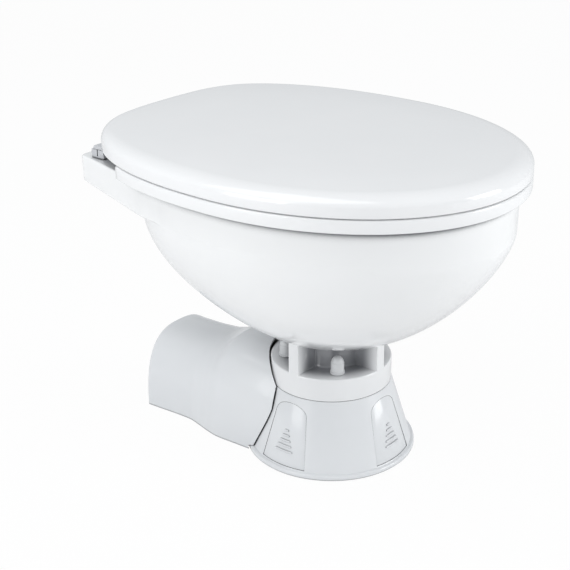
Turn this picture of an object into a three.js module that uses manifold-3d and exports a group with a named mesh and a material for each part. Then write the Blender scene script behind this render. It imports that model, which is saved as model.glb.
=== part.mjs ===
// Electric marine toilet: china bowl on a moulded base, hinged seat and lid,
// and a macerator pump with its motor under a cover behind the base.
// Millimetres. +Z is up, -Y is the front, and the base's axis is the model's axis until the last lines.
import * as THREE from 'three';
import { mergeVertices } from 'three/addons/utils/BufferGeometryUtils.js';
import Module from 'manifold-3d';

const wasm = await Module();
wasm.setup();

// Clearances
const fit = 0.35;          // between pieces that touch or slide
const overrun = 2;         // how far a cutter passes what it cuts
const embed = 1;           // how far a boss or rib reaches into what carries it

// Facets
const ovalSteps = 36;
const archSteps = 14;
const turnSteps = 28;
const innerSteps = 18;
const smallSteps = 10;
const hexSides = 6;
const ringSides = 5;
const domeSteps = 3;
const edgeSteps = 4;
const hatchSteps = 4;

// Base moulding
const footRadius = 93;
const footLip = 3.5;
const footBevel = 1.6;
const footStep = 4.7;
const flareRise = 5.8;
const seamRadius = 66.3;
const baseWall = 5;
const topPlate = 6;
const gateLip = 2;
const gasketInset = 7.5;
const gasketWidth = 16;
const gasketDepth = 2;
const wellStep = 1;
const wellWall = 4;
const wellFloor = 22;

// Macerator pump and motor, on an axis along Y
const axleHeight = 39;
const pumpRadius = 32.5;
const pumpHeadroom = 0.5;
const pumpWall = 8.5;
const pumpFront = 58.6;
const pumpFrontPlate = 5;
const pumpDepth = 26.4;
const spigotRadius = 12.5;
const spigotWall = 3;
const spigotLength = 12;
const ductWall = 4;
const backPlate = 6;
const shaftRadius = 4;
const sealRadius = 8.7;
const sealLength = 3;
const ringSection = 0.6;
const ringPlay = 0.35;
const spigotRingOffset = 7;
const spigotRingSection = 0.9;
const chopperThickness = 2;
const chopperHole = 4.5;
const chopperHoleCircle = 14;
const chopperHoles = 6;
const bladeGap = 1;
const bladeThickness = 2;
const bladeReach = 20;
const bladeWidth = 8;
const impellerRadius = 22;
const impellerDisc = 2.5;
const impellerRearGap = 2;
const impellerHub = 7;
const vaneHeight = 12;
const vaneThickness = 2.5;
const vaneCount = 5;
const pumpScrewCircle = 28.3;
const pumpScrewRadius = 1.7;
const pumpScrewHead = 2.9;
const pumpScrewHeadLength = 3.2;
const pumpScrewBite = 3.5;
const motorWall = 2.5;
const motorFrontPlate = 6;
const motorLength = 79.4;
const bearingRadius = 8;
const bearingLength = 4;
const magnetThickness = 3.2;
const magnetLength = 56;
const magnetStart = 11;
const armatureRadius = 24;
const armatureLength = 46;
const armatureStart = 15;
const windingRadius = 19;
const windingLength = 7;
const commutatorRadius = 10;
const commutatorLength = 11;
const commutatorGap = 1.4;
const brushWidth = 6;
const brushHeight = 5;
const brushLength = 11;
const brushHolderWall = 1.4;
const armatureSlots = 10;
const armatureSlotWidth = 2;
const armatureSlotDepth = 3;
const bellWall = 4.5;
const endBellLength = 13.7;
const endBellWall = 6;
const terminalLength = 9;
const terminalWidth = 6.3;
const terminalThickness = 0.8;
const terminalSpread = 10;
const terminalRise = 16;
const terminalRoot = 3;

// Discharge port, elbow and valve
const portOffset = 78;
const portRadius = 10;
const portWall = 2.5;
const portReach = 40;
const elbowWall = 2.6;
const elbowGrip = 6;
const barbRadius = 10;
const barbRidge = 0.5;
const barbRidges = 3;
const barbRidgePitch = 8;
const barbCentre = 46;
const barbReach = 52;
const elbowBranch = 30;
const valveFlange = 2;
const valveLength = 14;
const valveNeck = 1;
const valveTip = 2.4;
const valveSkin = 1;
const valveSlit = 0.8;
const valveInset = 14;

// Tray, saddles and strap that carry the motor
const trayThickness = 4;
const trayFront = 60;
const saddleWidth = 26;
const saddleThickness = 8;
const saddleRise = 20;
const saddleFrontInset = 3.3;
const saddleRearInset = 16.1;
const strapInset = 37.3;
const strapWidth = 12;
const strapThickness = 1.5;
const strapFoot = 12;
const bossRadius = 5;
const bossRise = 8;
const strapScrewRadius = 1.9;
const strapScrewHead = 3.8;
const strapScrewHeadLength = 2.4;
const strapScrewLength = 6;
const trayHoleRadius = 3.5;
const trayHoleSpread = 30;
const trayHoleInset = 17;

// Motor cover: an arched tunnel behind the base
const coverWall = 3;
const coverSeam = 0.9;
const coverFront = 27;
const coverRearRoom = 26.85;
const coverSideRoom = 18.05;
const coverRise = 32.5;
const coverEndWall = 3;
// Share of the cover's length, of its greatest half width (the middle's distance to the left of the base's
// axis, then the half width there) and of its greatest height, then the arch's power
const coverShares = [
  [0, 0.01, 0.952, 0.96, 3],
  [0.174, 0.024, 0.971, 0.987, 3],
  [0.3, 0.05, 0.96, 1, 3],
  [0.395, 0.086, 0.931, 0.982, 3],
  [0.489, 0.108, 0.87, 0.894, 2.9],
  [0.579, 0.123, 0.798, 0.835, 2.8],
  [0.668, 0.131, 0.749, 0.805, 2.8],
  [0.805, 0.154, 0.739, 0.795, 2.8],
  [0.942, 0.176, 0.742, 0.798, 2.8],
  [0.984, 0.178, 0.747, 0.8, 2.8],
  [1, 0.181, 0.737, 0.791, 2.8],
];
const hoseGateWidth = 30;
const hoseGateRise = 17;
const cableGateWidth = 12;
const cableGateHeight = 16;
const cableGateOffset = 22;

// Screw covers on the base's flare
const hatchBottomHalf = 28.5;
const hatchShoulderHalf = 20.4;
const hatchArchRise = 12.5;
const hatchTopInset = 7.5;
const hatchFootInset = 0.8;
const hatchThickness = 2.6;
const hatchLedge = 5;
const ridgeCount = 5;
const ridgeLowest = 21;
const ridgePitch = 5.4;
const ridgeHalfLong = 11.4;
const ridgeHalfShort = 2.6;
const ridgeHeight = 1.7;
const ridgeProud = 0.8;
const clipLength = 5;
const clipWidth = 4;
const clipHeight = 8;
const clipSpread = 13;
const clipRise = 22;
const tabReach = 21.3;
const tabHalf = 12;
const tabThickness = 5;
const tabHole = 3.5;
const tabHoleInset = 10;

// China bowl
const bowlHeight = 234;
const seamStep = 0.3;
const collarBevel = 1.5;
const coreWall = 14;
const coreGap = 3.6;
const pocketFloorRise = 26;
const pocketHeight = 34.5;
const postHalf = 6.5;
const footPlate = 1;
const rimBand = 42;
const rimEdge = 2.5;
const rimHalfWidth = 167.5;
const rimSideStep = 3;
const rimFrontReach = 200.5;
const rimFrontStep = 0.5;
const bodyRear = 199;
const widestOffset = 17;
const bodyLevels = 6;
const bodyCrowdingShare = 0.5;
const widthRoundPower = 1.76;
const widthRisePower = 1.19;
const frontRoundPower = 1.36;
const frontRisePower = 1.44;
const rearRoundPower = 1.85;
const rearRisePower = 1.09;
const rearSquarePower = 2.4;
const chinaWall = 11;
const rimPlate = 13;
const rimLip = 7;
const rimLipDrop = 25;
const rimSideWidth = 50.5;
const rimFrontWidth = 48.5;
const rimRearWidth = 77;
const openingRearPower = 2.3;
const throatRise = 72;
const deckReach = 48;
const deckRearSideInset = 45.5;
const deckFrontOffset = 70;
const deckSideInset = 4.3;
const deckCorner = 8;
const deckThickness = 28;
const deckDrop = 15;
const deckTaper = 0.5;
const deckCornerSteps = 4;

// Bolts that hold the bowl on the base
const boltInset = 16.5;
const boltRadius = 4;
const boltHeadRadius = 7;
const boltHeadLength = 5;
const boltBite = 11.3;
const capRadius = 7.1;
const capHeight = 19.5;
const capShoulder = 12.5;
const capStep = 0.5;
const capFlange = 7.9;
const capFlangeHeight = 2.6;

// Seat, lid and their bumpers
const seatLift = 2.4;
const seatThickness = 13.2;
const seamGap = 1.3;
const lidThickness = 21;
const lidSideReach = 14.9;
const lidFrontReach = 9.5;
const lidRearInset = 2;
const lidRearFlatInset = 18;
const lidRearSharpPower = 12;
const lidFrontPower = 2.05;
const lidRearPower = 2.3;
const seatEdge = 1.2;
const lidEdgeInset = 20;
const lidRearEdgeShare = 0.15;
const lidEdgeRise = 11;
const lidCrown = 1;
const lidCrownInset = 70;
const lidBumperRadius = 5;
const lidBumperInset = 9;
const lidBumperTurn = -31;
const openingFlare = 3;
const seatRearInset = 46;
const seatSideLap = 4;
const seatFrontLap = 6;
const seatRearLap = 18;
const lidRecessInset = 17;
const lidRecessDepth = 12.5;
const lidRecessDraft = 4;
const bumperRadius = 8;
const bumperSink = 1.8;
const bumperFrontTurn = -32.5;
const bumperRearTurn = 27;

// Hinges
const hingeInset = 13;
const hingeAxisRise = 9;
const knuckleRadius = 5.8;
const pinRadius = 3;
const pinHeadRadius = 4.6;
const pinHeadLength = 2;
const lidKnuckleInner = 33;
const knuckleWidth = 14.6;
const bracketEndInset = 1;
const bracketDepth = 18;
const bracketInset = 5;
const bracketHeight = 9.4;
const bracketLug = 12;
const bracketLugWall = 1.2;
const capThickness = 3.4;
const capCrown = 2.6;
const prySlotWidth = 1.3;
const prySlotDepth = 1.6;
const prySlotHeight = 7;
const armThickness = 8;
const lugWebHalf = 4;
const deckBoltFrontInset = 8.5;
const deckBoltSideInset = 14.6;
const deckBoltRadius = 4;
const deckBoltHead = 6.5;
const deckBoltHeadLength = 4;
const wingNutFlange = 10;
const wingNutFlangeHeight = 1.5;
const deckSpotRadius = 12;
const deckSpotDepth = 1.6;
const wingNutRadius = 7;
const wingNutLength = 10;
const wingSpan = 17;
const wingThickness = 3;
const deckBoltTail = 4;

// Rinse water inlet behind the bowl
const inletDrop = 54;
const inletHole = 12;
const inletBossRadius = 17;
const inletProud = 4;
const inletBossLength = 19;
const bushFlange = 15.5;
const bushFlangeThickness = 3;
const spoutRadius = 9;
const spoutWall = 2.2;
const spoutDepth = 14;
const legGap = 15;
const legRadius = 9.5;
const legLength = 46;
const legBallRadius = 10.6;

// Derived heights and places
const flareFoot = footRadius - footStep;
const baseHeight = axleHeight + pumpRadius + pumpHeadroom + gateLip + topPlate;
const tabInner = flareFoot - baseWall - tabReach;
const tabHoleRadius = tabInner + tabHoleInset;
const hatchFoot = flareRise + hatchFootInset;
const hatchTop = baseHeight - hatchTopInset;
const hatchShoulder = hatchTop - hatchArchRise;
const collarRadius = seamRadius - seamStep;
const collarBottom = baseHeight + fit;
const boltCircle = collarRadius - boltInset;
const boltOffset = boltCircle * Math.SQRT1_2;
const coreRadius = boltCircle - capFlange - coreGap;
const drainRadius = coreRadius - coreWall;
const wellRadius = drainRadius + wellStep;
const gasketInner = boltCircle - gasketInset;
const gasketOuter = gasketInner + gasketWidth;
const pocketFloorHeight = baseHeight + pocketFloorRise;
const bodyFoot = pocketFloorHeight + pocketHeight + footPlate;
const throatHeight = baseHeight + throatRise;
const rimHeight = baseHeight + bowlHeight;
const creaseHeight = rimHeight - rimBand;
const bodyHalfWidth = rimHalfWidth - rimSideStep;
const bodyFront = rimFrontReach - rimFrontStep;
const openingHalfWidth = rimHalfWidth - rimSideWidth;
const openingFront = rimFrontReach - rimFrontWidth;
const openingRear = bodyRear - rimRearWidth;
const deckRear = bodyRear + deckReach;
const deckFrontHalf = rimHalfWidth - deckSideInset;
const deckRearHalf = rimHalfWidth - deckRearSideInset;
const lidHalfWidth = rimHalfWidth + lidSideReach;
const lidFront = rimFrontReach + lidFrontReach;
const lidRearReach = deckRear - lidRearInset;
const lidRearLimit = deckRear - lidRearFlatInset;
const seatRear = bodyRear - seatRearInset;
const hingeAxisOffset = deckRear - hingeInset;
const bracketOuter = deckRearHalf - bracketEndInset;
const bracketRear = hingeAxisOffset - bracketInset;
const bracketFront = bracketRear - bracketDepth;
const deckBoltOffset = bracketFront + deckBoltFrontInset;
const inletHeight = rimHeight - inletDrop;
const inletFace = bodyRear + inletProud;
const inletInside = inletFace - inletBossLength;
const legOffset = inletFace + legGap;
const seatBottom = rimHeight + seatLift;
const seatTop = seatBottom + seatThickness;
const lidBottom = seatTop + seamGap;
const lidTop = lidBottom + lidThickness;
const hingeHeight = rimHeight + hingeAxisRise;
const boreRadius = shaftRadius + fit;
const pumpRear = pumpFront + pumpFrontPlate + pumpDepth;
const pumpBore = pumpRadius - pumpWall;
const backFront = pumpRear + fit;
const backRear = backFront + backPlate;
const motorFront = backRear + fit;
const motorInner = motorFront + motorFrontPlate;
const motorRear = motorFront + motorLength;
const bellFront = motorRear + fit;
const bellRear = bellFront + endBellLength;
const bellInner = bellRear - endBellWall;
const saddleFrontOffset = motorFront + saddleFrontInset;
const saddleRearOffset = motorRear - saddleRearInset;
const strapOffset = motorFront + strapInset;
const coverRear = bellRear + coverRearRoom;
const trayHoleOffset = coverRear - trayHoleInset;
const hoseGateHeight = axleHeight + hoseGateRise;
const pumpScrewOffset = pumpScrewCircle * Math.SQRT1_2;
const ringCircle = pumpBore + ringSection + ringPlay;
const bladeFront = pumpFront + pumpFrontPlate + fit + chopperThickness + bladeGap;
const armatureFront = motorFront + armatureStart;
const armatureRear = armatureFront + armatureLength;
const commutatorFront = armatureRear + windingLength;
const brushMiddle = commutatorFront + commutatorGap + (commutatorLength - commutatorGap) / 2;
const elbowRadius = portRadius + fit + elbowWall;
const coverHalfWidth = barbCentre + elbowRadius + coverSideRoom;
const coverHeight = baseHeight + coverRise;
const coverStations = coverShares.map(([along, aside, across, up, power]) => ({
  y: coverFront + (coverRear - coverFront) * along,
  middle: -coverHalfWidth * aside,
  halfWidth: coverHalfWidth * across,
  height: coverHeight * up,
  power,
}));
const passageRadius = portRadius - portWall;
const strapBossSpread = pumpRadius + fit + strapThickness + strapFoot / 2;
const boltNeck = baseHeight - topPlate - fit;
const nutBottom = pocketFloorHeight + fit;
const boltTip = nutBottom + boltBite;
const seatKnuckleInner = lidKnuckleInner + knuckleWidth + fit;
const bracketInner = seatKnuckleInner + knuckleWidth + fit;
const deckBoltSpread = bracketInner + deckBoltSideInset;
const bracketTop = rimHeight + fit + bracketHeight;
const deckBoltNeck = bracketTop - fit - deckBoltHeadLength;
const deckSpot = deckUnderside(deckBoltOffset) + deckSpotDepth;
const wingNutTop = deckSpot - fit;

// Finishes: colour, roughness, metalness
const china = [new THREE.Color(0.93, 0.94, 0.94), 0.12];
const moulding = [new THREE.Color(0.9, 0.91, 0.92), 0.3];
const seatPlastic = [new THREE.Color(0.9, 0.91, 0.92), 0.2];
const nylon = [new THREE.Color(0.88, 0.88, 0.87), 0.4];
const black = [new THREE.Color(0.08, 0.08, 0.085), 0.45];
const rubber = [new THREE.Color(0.2, 0.2, 0.22), 0.8];
const steel = [new THREE.Color(0.62, 0.63, 0.65), 0.35, 0.9];
const motorPaint = [new THREE.Color(0.08, 0.08, 0.085), 0.4, 0.4];
const ferrite = [new THREE.Color(0.2, 0.2, 0.22), 0.6, 0.3];
const copper = [new THREE.Color(0.72, 0.4, 0.24), 0.35, 0.8];

const toilet = new THREE.Group();

// Height of the rear deck's underside, which falls towards the front.
function deckUnderside(y) {
  return rimHeight - deckThickness - (deckDrop * (deckRear - y)) / (deckRear - deckFrontOffset);
}

// Turns every face outwards, whichever way round the outline was drawn.
function facingOut(geometry) {
  const position = geometry.getAttribute('position');
  const index = geometry.getIndex().array;
  const a = new THREE.Vector3();
  const b = new THREE.Vector3();
  const c = new THREE.Vector3();
  let volume = 0;
  for (let i = 0; i < index.length; i += 3) {
    a.fromBufferAttribute(position, index[i]);
    b.fromBufferAttribute(position, index[i + 1]);
    c.fromBufferAttribute(position, index[i + 2]);
    volume += a.dot(b.cross(c));
  }
  if (volume < 0) {
    for (let i = 0; i < index.length; i += 3) {
      [index[i], index[i + 1]] = [index[i + 1], index[i]];
    }
  }
  return geometry;
}

// A geometry as a solid that can be joined and cut.
function solid(geometry) {
  const bare = geometry.clone();
  bare.deleteAttribute('normal');
  bare.deleteAttribute('uv');
  const merged = facingOut(mergeVertices(bare, 1e-4));
  const vertProperties = new Float32Array(merged.getAttribute('position').array);
  const triVerts = new Uint32Array(merged.getIndex().array);
  return new wasm.Manifold(new wasm.Mesh({ numProp: 3, vertProperties, triVerts }));
}

// A solid back as a geometry.
function geometryOf(shape) {
  const mesh = shape.getMesh();
  const geometry = new THREE.BufferGeometry();
  const positions = new Float32Array(mesh.vertProperties);
  geometry.setAttribute('position', new THREE.BufferAttribute(positions, mesh.numProp));
  geometry.setIndex(new THREE.BufferAttribute(new Uint32Array(mesh.triVerts), 1));
  geometry.computeVertexNormals();
  return geometry;
}

function join(shapes) {
  return shapes.reduce((whole, shape) => whole.add(shape));
}

function cut(shape, tools) {
  return tools.reduce((rest, tool) => rest.subtract(tool), shape);
}

// Adds a named piece to the toilet.
function piece(name, shape, [color, roughness, metalness = 0]) {
  const material = new THREE.MeshStandardMaterial({ color, roughness, metalness });
  const mesh = new THREE.Mesh(geometryOf(shape), material);
  mesh.name = name;
  toilet.add(mesh);
}

// Adds a right-hand piece and its mirror image.
function pair(name, shape, finish) {
  piece(`${name}_right`, shape, finish);
  piece(`${name}_left`, mirrored(shape), finish);
}

// Adds like pieces with numbered names.
function series(name, shapes, finish) {
  shapes.forEach((shape, step) => piece(`${name}_${step + 1}`, shape, finish));
}

// A block between two corners.
function block(low, high) {
  const geometry = new THREE.BoxGeometry(high[0] - low[0], high[1] - low[1], high[2] - low[2]);
  geometry.translate((low[0] + high[0]) / 2, (low[1] + high[1]) / 2, (low[2] + high[2]) / 2);
  return solid(geometry);
}

// A turned solid: outline points are [radius, height] round the Z axis.
function turned(outline, steps) {
  const points = outline.map(([radius, height]) => new THREE.Vector2(radius, height));
  const geometry = new THREE.LatheGeometry(points, steps);
  geometry.rotateX(Math.PI / 2);
  return solid(geometry);
}

// A turned solid whose outline closes on itself, for a ring.
function turnedRing(outline, steps) {
  return turned([...outline, outline[0]], steps);
}

function ring(inner, outer, low, high, steps) {
  return turnedRing([[inner, low], [outer, low], [outer, high], [inner, high]], steps);
}

function rod(radius, low, high, steps) {
  return turned([[0, low], [radius, low], [radius, high], [0, high]], steps);
}

// A bolt, screw or pin: its head runs from headEnd to neck, and its shank from there to the tip.
function headed(headRadius, headEnd, neck, radius, tip) {
  const head = [[0, headEnd], [headRadius, headEnd], [headRadius, neck]];
  return turned([...head, [radius, neck], [radius, tip], [0, tip]], smallSteps);
}

// A round seal: a ring of round section.
function sealRing(circle, section, height) {
  const outline = Array.from({ length: ringSides }, (_, side) => {
    const angle = (2 * Math.PI * side) / ringSides;
    return [circle + section * Math.cos(angle), height + section * Math.sin(angle)];
  });
  return turnedRing(outline, innerSteps);
}

function ball(radius, steps) {
  const outline = Array.from({ length: steps / 2 + 1 }, (_, step) => {
    const angle = (2 * Math.PI * step) / steps - Math.PI / 2;
    return [step === 0 || step === steps / 2 ? 0 : radius * Math.cos(angle), radius * Math.sin(angle)];
  });
  return turned(outline, steps);
}

// Lays a shape that was made round Z along Y (its height becomes Y) at the given place.
function alongY(shape, x, z) {
  return shape.rotate([-90, 0, 0]).translate([x, 0, z]);
}

// Lays a shape that was made round Z along X (its height becomes X) at the given place.
function alongX(shape, y, z) {
  return shape.rotate([0, 90, 0]).translate([0, y, z]);
}

function onAxle(shape) {
  return alongY(shape, 0, axleHeight);
}

function onHinge(shape) {
  return alongX(shape, hingeAxisOffset, hingeHeight);
}

function mirrored(shape) {
  return shape.mirror([1, 0, 0]);
}

function bothSides(shape) {
  return join([shape, mirrored(shape)]);
}

function crossPlaces(offset) {
  return [[offset, offset], [-offset, offset], [-offset, -offset], [offset, -offset]];
}

// Copies of a shape spaced evenly round the Z axis.
function turnedCopies(shape, count) {
  const spacing = THREE.MathUtils.radToDeg((2 * Math.PI) / count);
  return Array.from({ length: count }, (_, step) => shape.rotate([0, 0, spacing * step]));
}

// Copies of an upright shape at the four corners of a square round the Z axis.
function atCross(offset, shape) {
  return crossPlaces(offset).map(([x, y]) => shape.translate([x, y, 0]));
}

// Skins a row of closed loops of points and closes both ends.
function loft(loops) {
  const count = loops[0].length;
  const positions = loops.flatMap((loop) => loop.flatMap((point) => [point.x, point.y, point.z]));
  const index = [];
  for (let row = 0; row + 1 < loops.length; row += 1) {
    for (let step = 0; step < count; step += 1) {
      const next = (step + 1) % count;
      const a = row * count + step;
      const b = row * count + next;
      const c = a + count;
      const d = b + count;
      index.push(a, b, d, a, d, c);
    }
  }
  for (const row of [0, loops.length - 1]) {
    const centre = new THREE.Vector3();
    loops[row].forEach((point) => centre.add(point));
    centre.divideScalar(count);
    const hub = positions.length / 3;
    positions.push(centre.x, centre.y, centre.z);
    for (let step = 0; step < count; step += 1) {
      const a = row * count + step;
      const b = row * count + ((step + 1) % count);
      index.push(...(row === 0 ? [b, a, hub] : [a, b, hub]));
    }
  }
  const geometry = new THREE.BufferGeometry();
  geometry.setAttribute('position', new THREE.BufferAttribute(new Float32Array(positions), 3));
  geometry.setIndex(index);
  return solid(geometry);
}

function signedPower(value, power) {
  return Math.sign(value) * Math.abs(value) ** power;
}

// A point of a level oval that has one power for its front half and one for its rear half.
function ovalPoint({ half, middle, front, rear, frontPower, rearPower, height }, angle) {
  const sine = Math.sin(angle);
  const power = 2 / (sine < 0 ? frontPower : rearPower);
  const reach = sine < 0 ? front + middle : rear - middle;
  const x = half * signedPower(Math.cos(angle), power);
  const y = middle + reach * signedPower(sine, power);
  return new THREE.Vector3(x, y, height);
}

function oval(outline, steps = ovalSteps) {
  return Array.from({ length: steps }, (_, step) => ovalPoint(outline, (2 * Math.PI * step) / steps));
}

// Bowl body: how far a reach has grown from the foot at a given share of the body's height.
function growth(share, roundPower, risePower) {
  return (1 - (1 - share) ** roundPower) ** (1 / risePower);
}

function bodyLoop(share, inset, height) {
  const grow = (reach, roundPower, risePower) =>
    collarRadius + (reach - collarRadius) * growth(share, roundPower, risePower) - inset;
  const widthGrowth = growth(share, widthRoundPower, widthRisePower);
  return oval({
    half: grow(bodyHalfWidth, widthRoundPower, widthRisePower),
    middle: widestOffset * widthGrowth,
    front: grow(bodyFront, frontRoundPower, frontRisePower),
    rear: grow(bodyRear, rearRoundPower, rearRisePower),
    frontPower: 2,
    rearPower: 2 + (rearSquarePower - 2) * widthGrowth,
    height,
  });
}

function rimLoop(inset, height) {
  return oval({
    half: rimHalfWidth - inset,
    middle: widestOffset,
    front: rimFrontReach - inset,
    rear: bodyRear - inset,
    frontPower: 2,
    rearPower: rearSquarePower,
    height,
  });
}

function circleLoop(radius, height) {
  return ellipseLoop(radius, radius, height, ovalSteps);
}

function ellipseLoop(half, reach, height, steps) {
  return oval({ half, middle: 0, front: reach, rear: reach, frontPower: 2, rearPower: 2, height }, steps);
}

function openingLoop(inset, height) {
  return oval({
    half: openingHalfWidth - inset,
    middle: 0,
    front: openingFront - inset,
    rear: openingRear - inset,
    frontPower: 2,
    rearPower: openingRearPower,
    height,
  });
}

// Seat and lid outline: an oval whose rear end is flattened.
function lidOval(inset, height, rearInset = inset) {
  return {
    half: lidHalfWidth - inset,
    middle: widestOffset,
    front: lidFront - inset,
    rear: widestOffset + lidRearReach - rearInset,
    frontPower: lidFrontPower,
    rearPower: lidRearPower,
    height,
  };
}

function lidLoop(inset, height, rearInset = inset) {
  const limit = lidRearLimit - rearInset;
  return oval(lidOval(inset, height, rearInset)).map((point) => {
    const back = Math.max(point.y - widestOffset, 0);
    const kept = back * (1 + (back / limit) ** lidRearSharpPower) ** (-1 / lidRearSharpPower);
    return new THREE.Vector3(point.x, point.y - back + kept, point.z);
  });
}

function seatOpening(inset, height) {
  return {
    half: openingHalfWidth - seatSideLap - inset,
    middle: 0,
    front: openingFront - seatFrontLap - inset,
    rear: openingRear - seatRearLap - inset,
    frontPower: 2,
    rearPower: openingRearPower,
    height,
  };
}

// The base's outer skin, grown outwards by a gap.
function flareRadiusAt(height) {
  const share = (height - flareRise) / (baseHeight - flareRise);
  return flareFoot + (seamRadius - flareFoot) * share;
}

function skinOutline(gap) {
  return [
    [footRadius + gap, 0],
    [footRadius + gap, footLip + gap],
    [footRadius - footBevel + gap, flareRise - (flareRise - footLip) / 2 + gap],
    [flareFoot + gap, flareRise + gap],
    [seamRadius + gap, baseHeight],
  ];
}

// A plate shaped like a screw cover, facing a given way from the base's axis.
function hatchPrism(shrink, inner, outer, angle) {
  const half = hatchBottomHalf - shrink;
  const shoulder = hatchShoulderHalf - shrink;
  const outline = new THREE.Shape();
  outline.moveTo(-half, hatchFoot + shrink);
  outline.lineTo(half, hatchFoot + shrink);
  outline.lineTo(shoulder, hatchShoulder);
  outline.absellipse(0, hatchShoulder, shoulder, hatchTop - hatchShoulder - shrink, 0, Math.PI, false, 0);
  outline.closePath();
  const geometry = new THREE.ExtrudeGeometry(outline, {
    depth: outer - inner,
    bevelEnabled: false,
    curveSegments: hatchSteps,
  });
  geometry.translate(0, 0, inner);
  const tangent = new THREE.Vector3(-Math.sin(angle), Math.cos(angle), 0);
  const rise = new THREE.Vector3(0, 0, 1);
  const outwards = new THREE.Vector3(Math.cos(angle), Math.sin(angle), 0);
  geometry.applyMatrix4(new THREE.Matrix4().makeBasis(tangent, rise, outwards));
  return solid(geometry);
}

// A layer under the flare's surface, from one depth to another.
function flareLayer(near, deep) {
  return turnedRing([
    [flareRadiusAt(flareRise) - deep, flareRise],
    [flareRadiusAt(flareRise) - near, flareRise],
    [flareRadiusAt(baseHeight) - near, baseHeight],
    [flareRadiusAt(baseHeight) - deep, baseHeight],
  ], turnSteps);
}

const hatchSides = { left: Math.PI, front: -Math.PI / 2, right: 0 };

// A block in a screw cover's own directions: sideways, up and outwards.
function facingBlock(angle, sideways, height, outwards) {
  const plain = block([outwards[0], sideways[0], height[0]], [outwards[1], sideways[1], height[1]]);
  return plain.rotate([0, 0, THREE.MathUtils.radToDeg(angle)]);
}

// Motor cover cross-section
function coverLoop(station, inset, below) {
  const half = station.halfWidth - inset;
  const height = station.height - inset;
  const arch = Array.from({ length: archSteps + 1 }, (_, step) => {
    const angle = (Math.PI * step) / archSteps;
    const power = 2 / station.power;
    const x = station.middle + half * signedPower(Math.cos(angle), power);
    const z = height * Math.sin(angle) ** power;
    return new THREE.Vector3(x, station.y, z);
  });
  arch[0].z = 0;
  arch[archSteps].z = 0;
  if (below === 0) return arch;
  const foot = (side) => new THREE.Vector3(station.middle + side * half, station.y, -below);
  return [foot(1), ...arch, foot(-1)];
}

function coverTunnel(inset, below, rearCut) {
  const stations = coverStations.filter((station) => station.y < coverRear - rearCut);
  const loops = stations.map((station) => coverLoop(station, inset, below));
  const last = coverStations[stations.length - 1];
  loops.push(coverLoop({ ...last, y: coverRear - rearCut }, inset, below));
  return loft(loops);
}

function makeBase() {
  const innerTop = baseHeight - topPlate;
  const shell = turned([
    [0, wellFloor - wellWall],
    [wellRadius + wellWall, wellFloor - wellWall],
    [wellRadius + wellWall, innerTop],
    [flareRadiusAt(innerTop) - baseWall, innerTop],
    [flareFoot - baseWall, flareRise],
    [flareFoot - baseWall, 0],
    ...skinOutline(0),
    [gasketOuter + fit, baseHeight],
    [gasketOuter + fit, baseHeight - gasketDepth],
    [gasketInner - fit, baseHeight - gasketDepth],
    [gasketInner - fit, baseHeight],
    [wellRadius, baseHeight],
    [wellRadius, wellFloor],
    [0, wellFloor],
  ], turnSteps);
  const ductRadius = spigotRadius + fit + ductWall;
  const duct = onAxle(rod(ductRadius, wellRadius, pumpFront - fit, innerSteps));
  const ductBore = onAxle(rod(spigotRadius + fit, wellRadius - wellWall, pumpFront, innerSteps));
  const gateHalf = barbCentre + barbRadius;
  const pumpGate = block(
    [-gateHalf, pumpFront - fit, flareRise],
    [gateHalf, footRadius + overrun, innerTop - gateLip],
  );
  const trayInset = coverWall + fit;
  const tray = coverTunnel(trayInset, 0, coverEndWall + fit).intersect(
    block([-footRadius, trayFront, 0], [footRadius, coverRear, trayThickness]),
  );
  const saddleBox = (offset) =>
    block([-saddleWidth, offset, 0], [saddleWidth, offset + saddleThickness, saddleRise]);
  const motorRoom = onAxle(rod(pumpRadius + fit, trayFront, coverRear, innerSteps));
  const bossPlace = [strapBossSpread, strapOffset, 0];
  const bosses = bothSides(rod(bossRadius, 0, bossRise, smallSteps).translate(bossPlace));
  const bossHoles = bothSides(
    rod(strapScrewRadius + fit, -overrun, bossRise + overrun, smallSteps).translate(bossPlace),
  );
  const trayHoles = bothSides(
    rod(trayHoleRadius, -overrun, trayThickness + overrun, smallSteps)
      .translate([trayHoleSpread, trayHoleOffset, 0]),
  );
  const saddles = cut(join([saddleBox(saddleFrontOffset), saddleBox(saddleRearOffset)]), [motorRoom]);
  const boltHole = rod(boltRadius + fit, innerTop - overrun, baseHeight + overrun, smallSteps);
  const boltHoles = atCross(boltOffset, boltHole);
  let base = cut(join([shell, duct]), [ductBore, pumpGate, ...boltHoles]);
  for (const angle of Object.values(hatchSides)) {
    const recess = hatchPrism(0, collarRadius - overrun, footRadius + overrun, angle)
      .intersect(flareLayer(-footRadius, hatchThickness + fit));
    const window = hatchPrism(hatchLedge, tabInner, footRadius, angle);
    const tabSpan = [tabInner, flareFoot - baseWall + embed];
    const tab = facingBlock(angle, [-tabHalf, tabHalf], [0, tabThickness], tabSpan);
    const hole = rod(tabHole, -overrun, tabThickness + overrun, smallSteps)
      .translate([Math.cos(angle) * tabHoleRadius, Math.sin(angle) * tabHoleRadius, 0]);
    base = cut(base, [recess, window]).add(tab).subtract(hole);
  }
  return cut(join([base, tray, saddles, bosses]), [bossHoles, trayHoles]);
}

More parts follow.
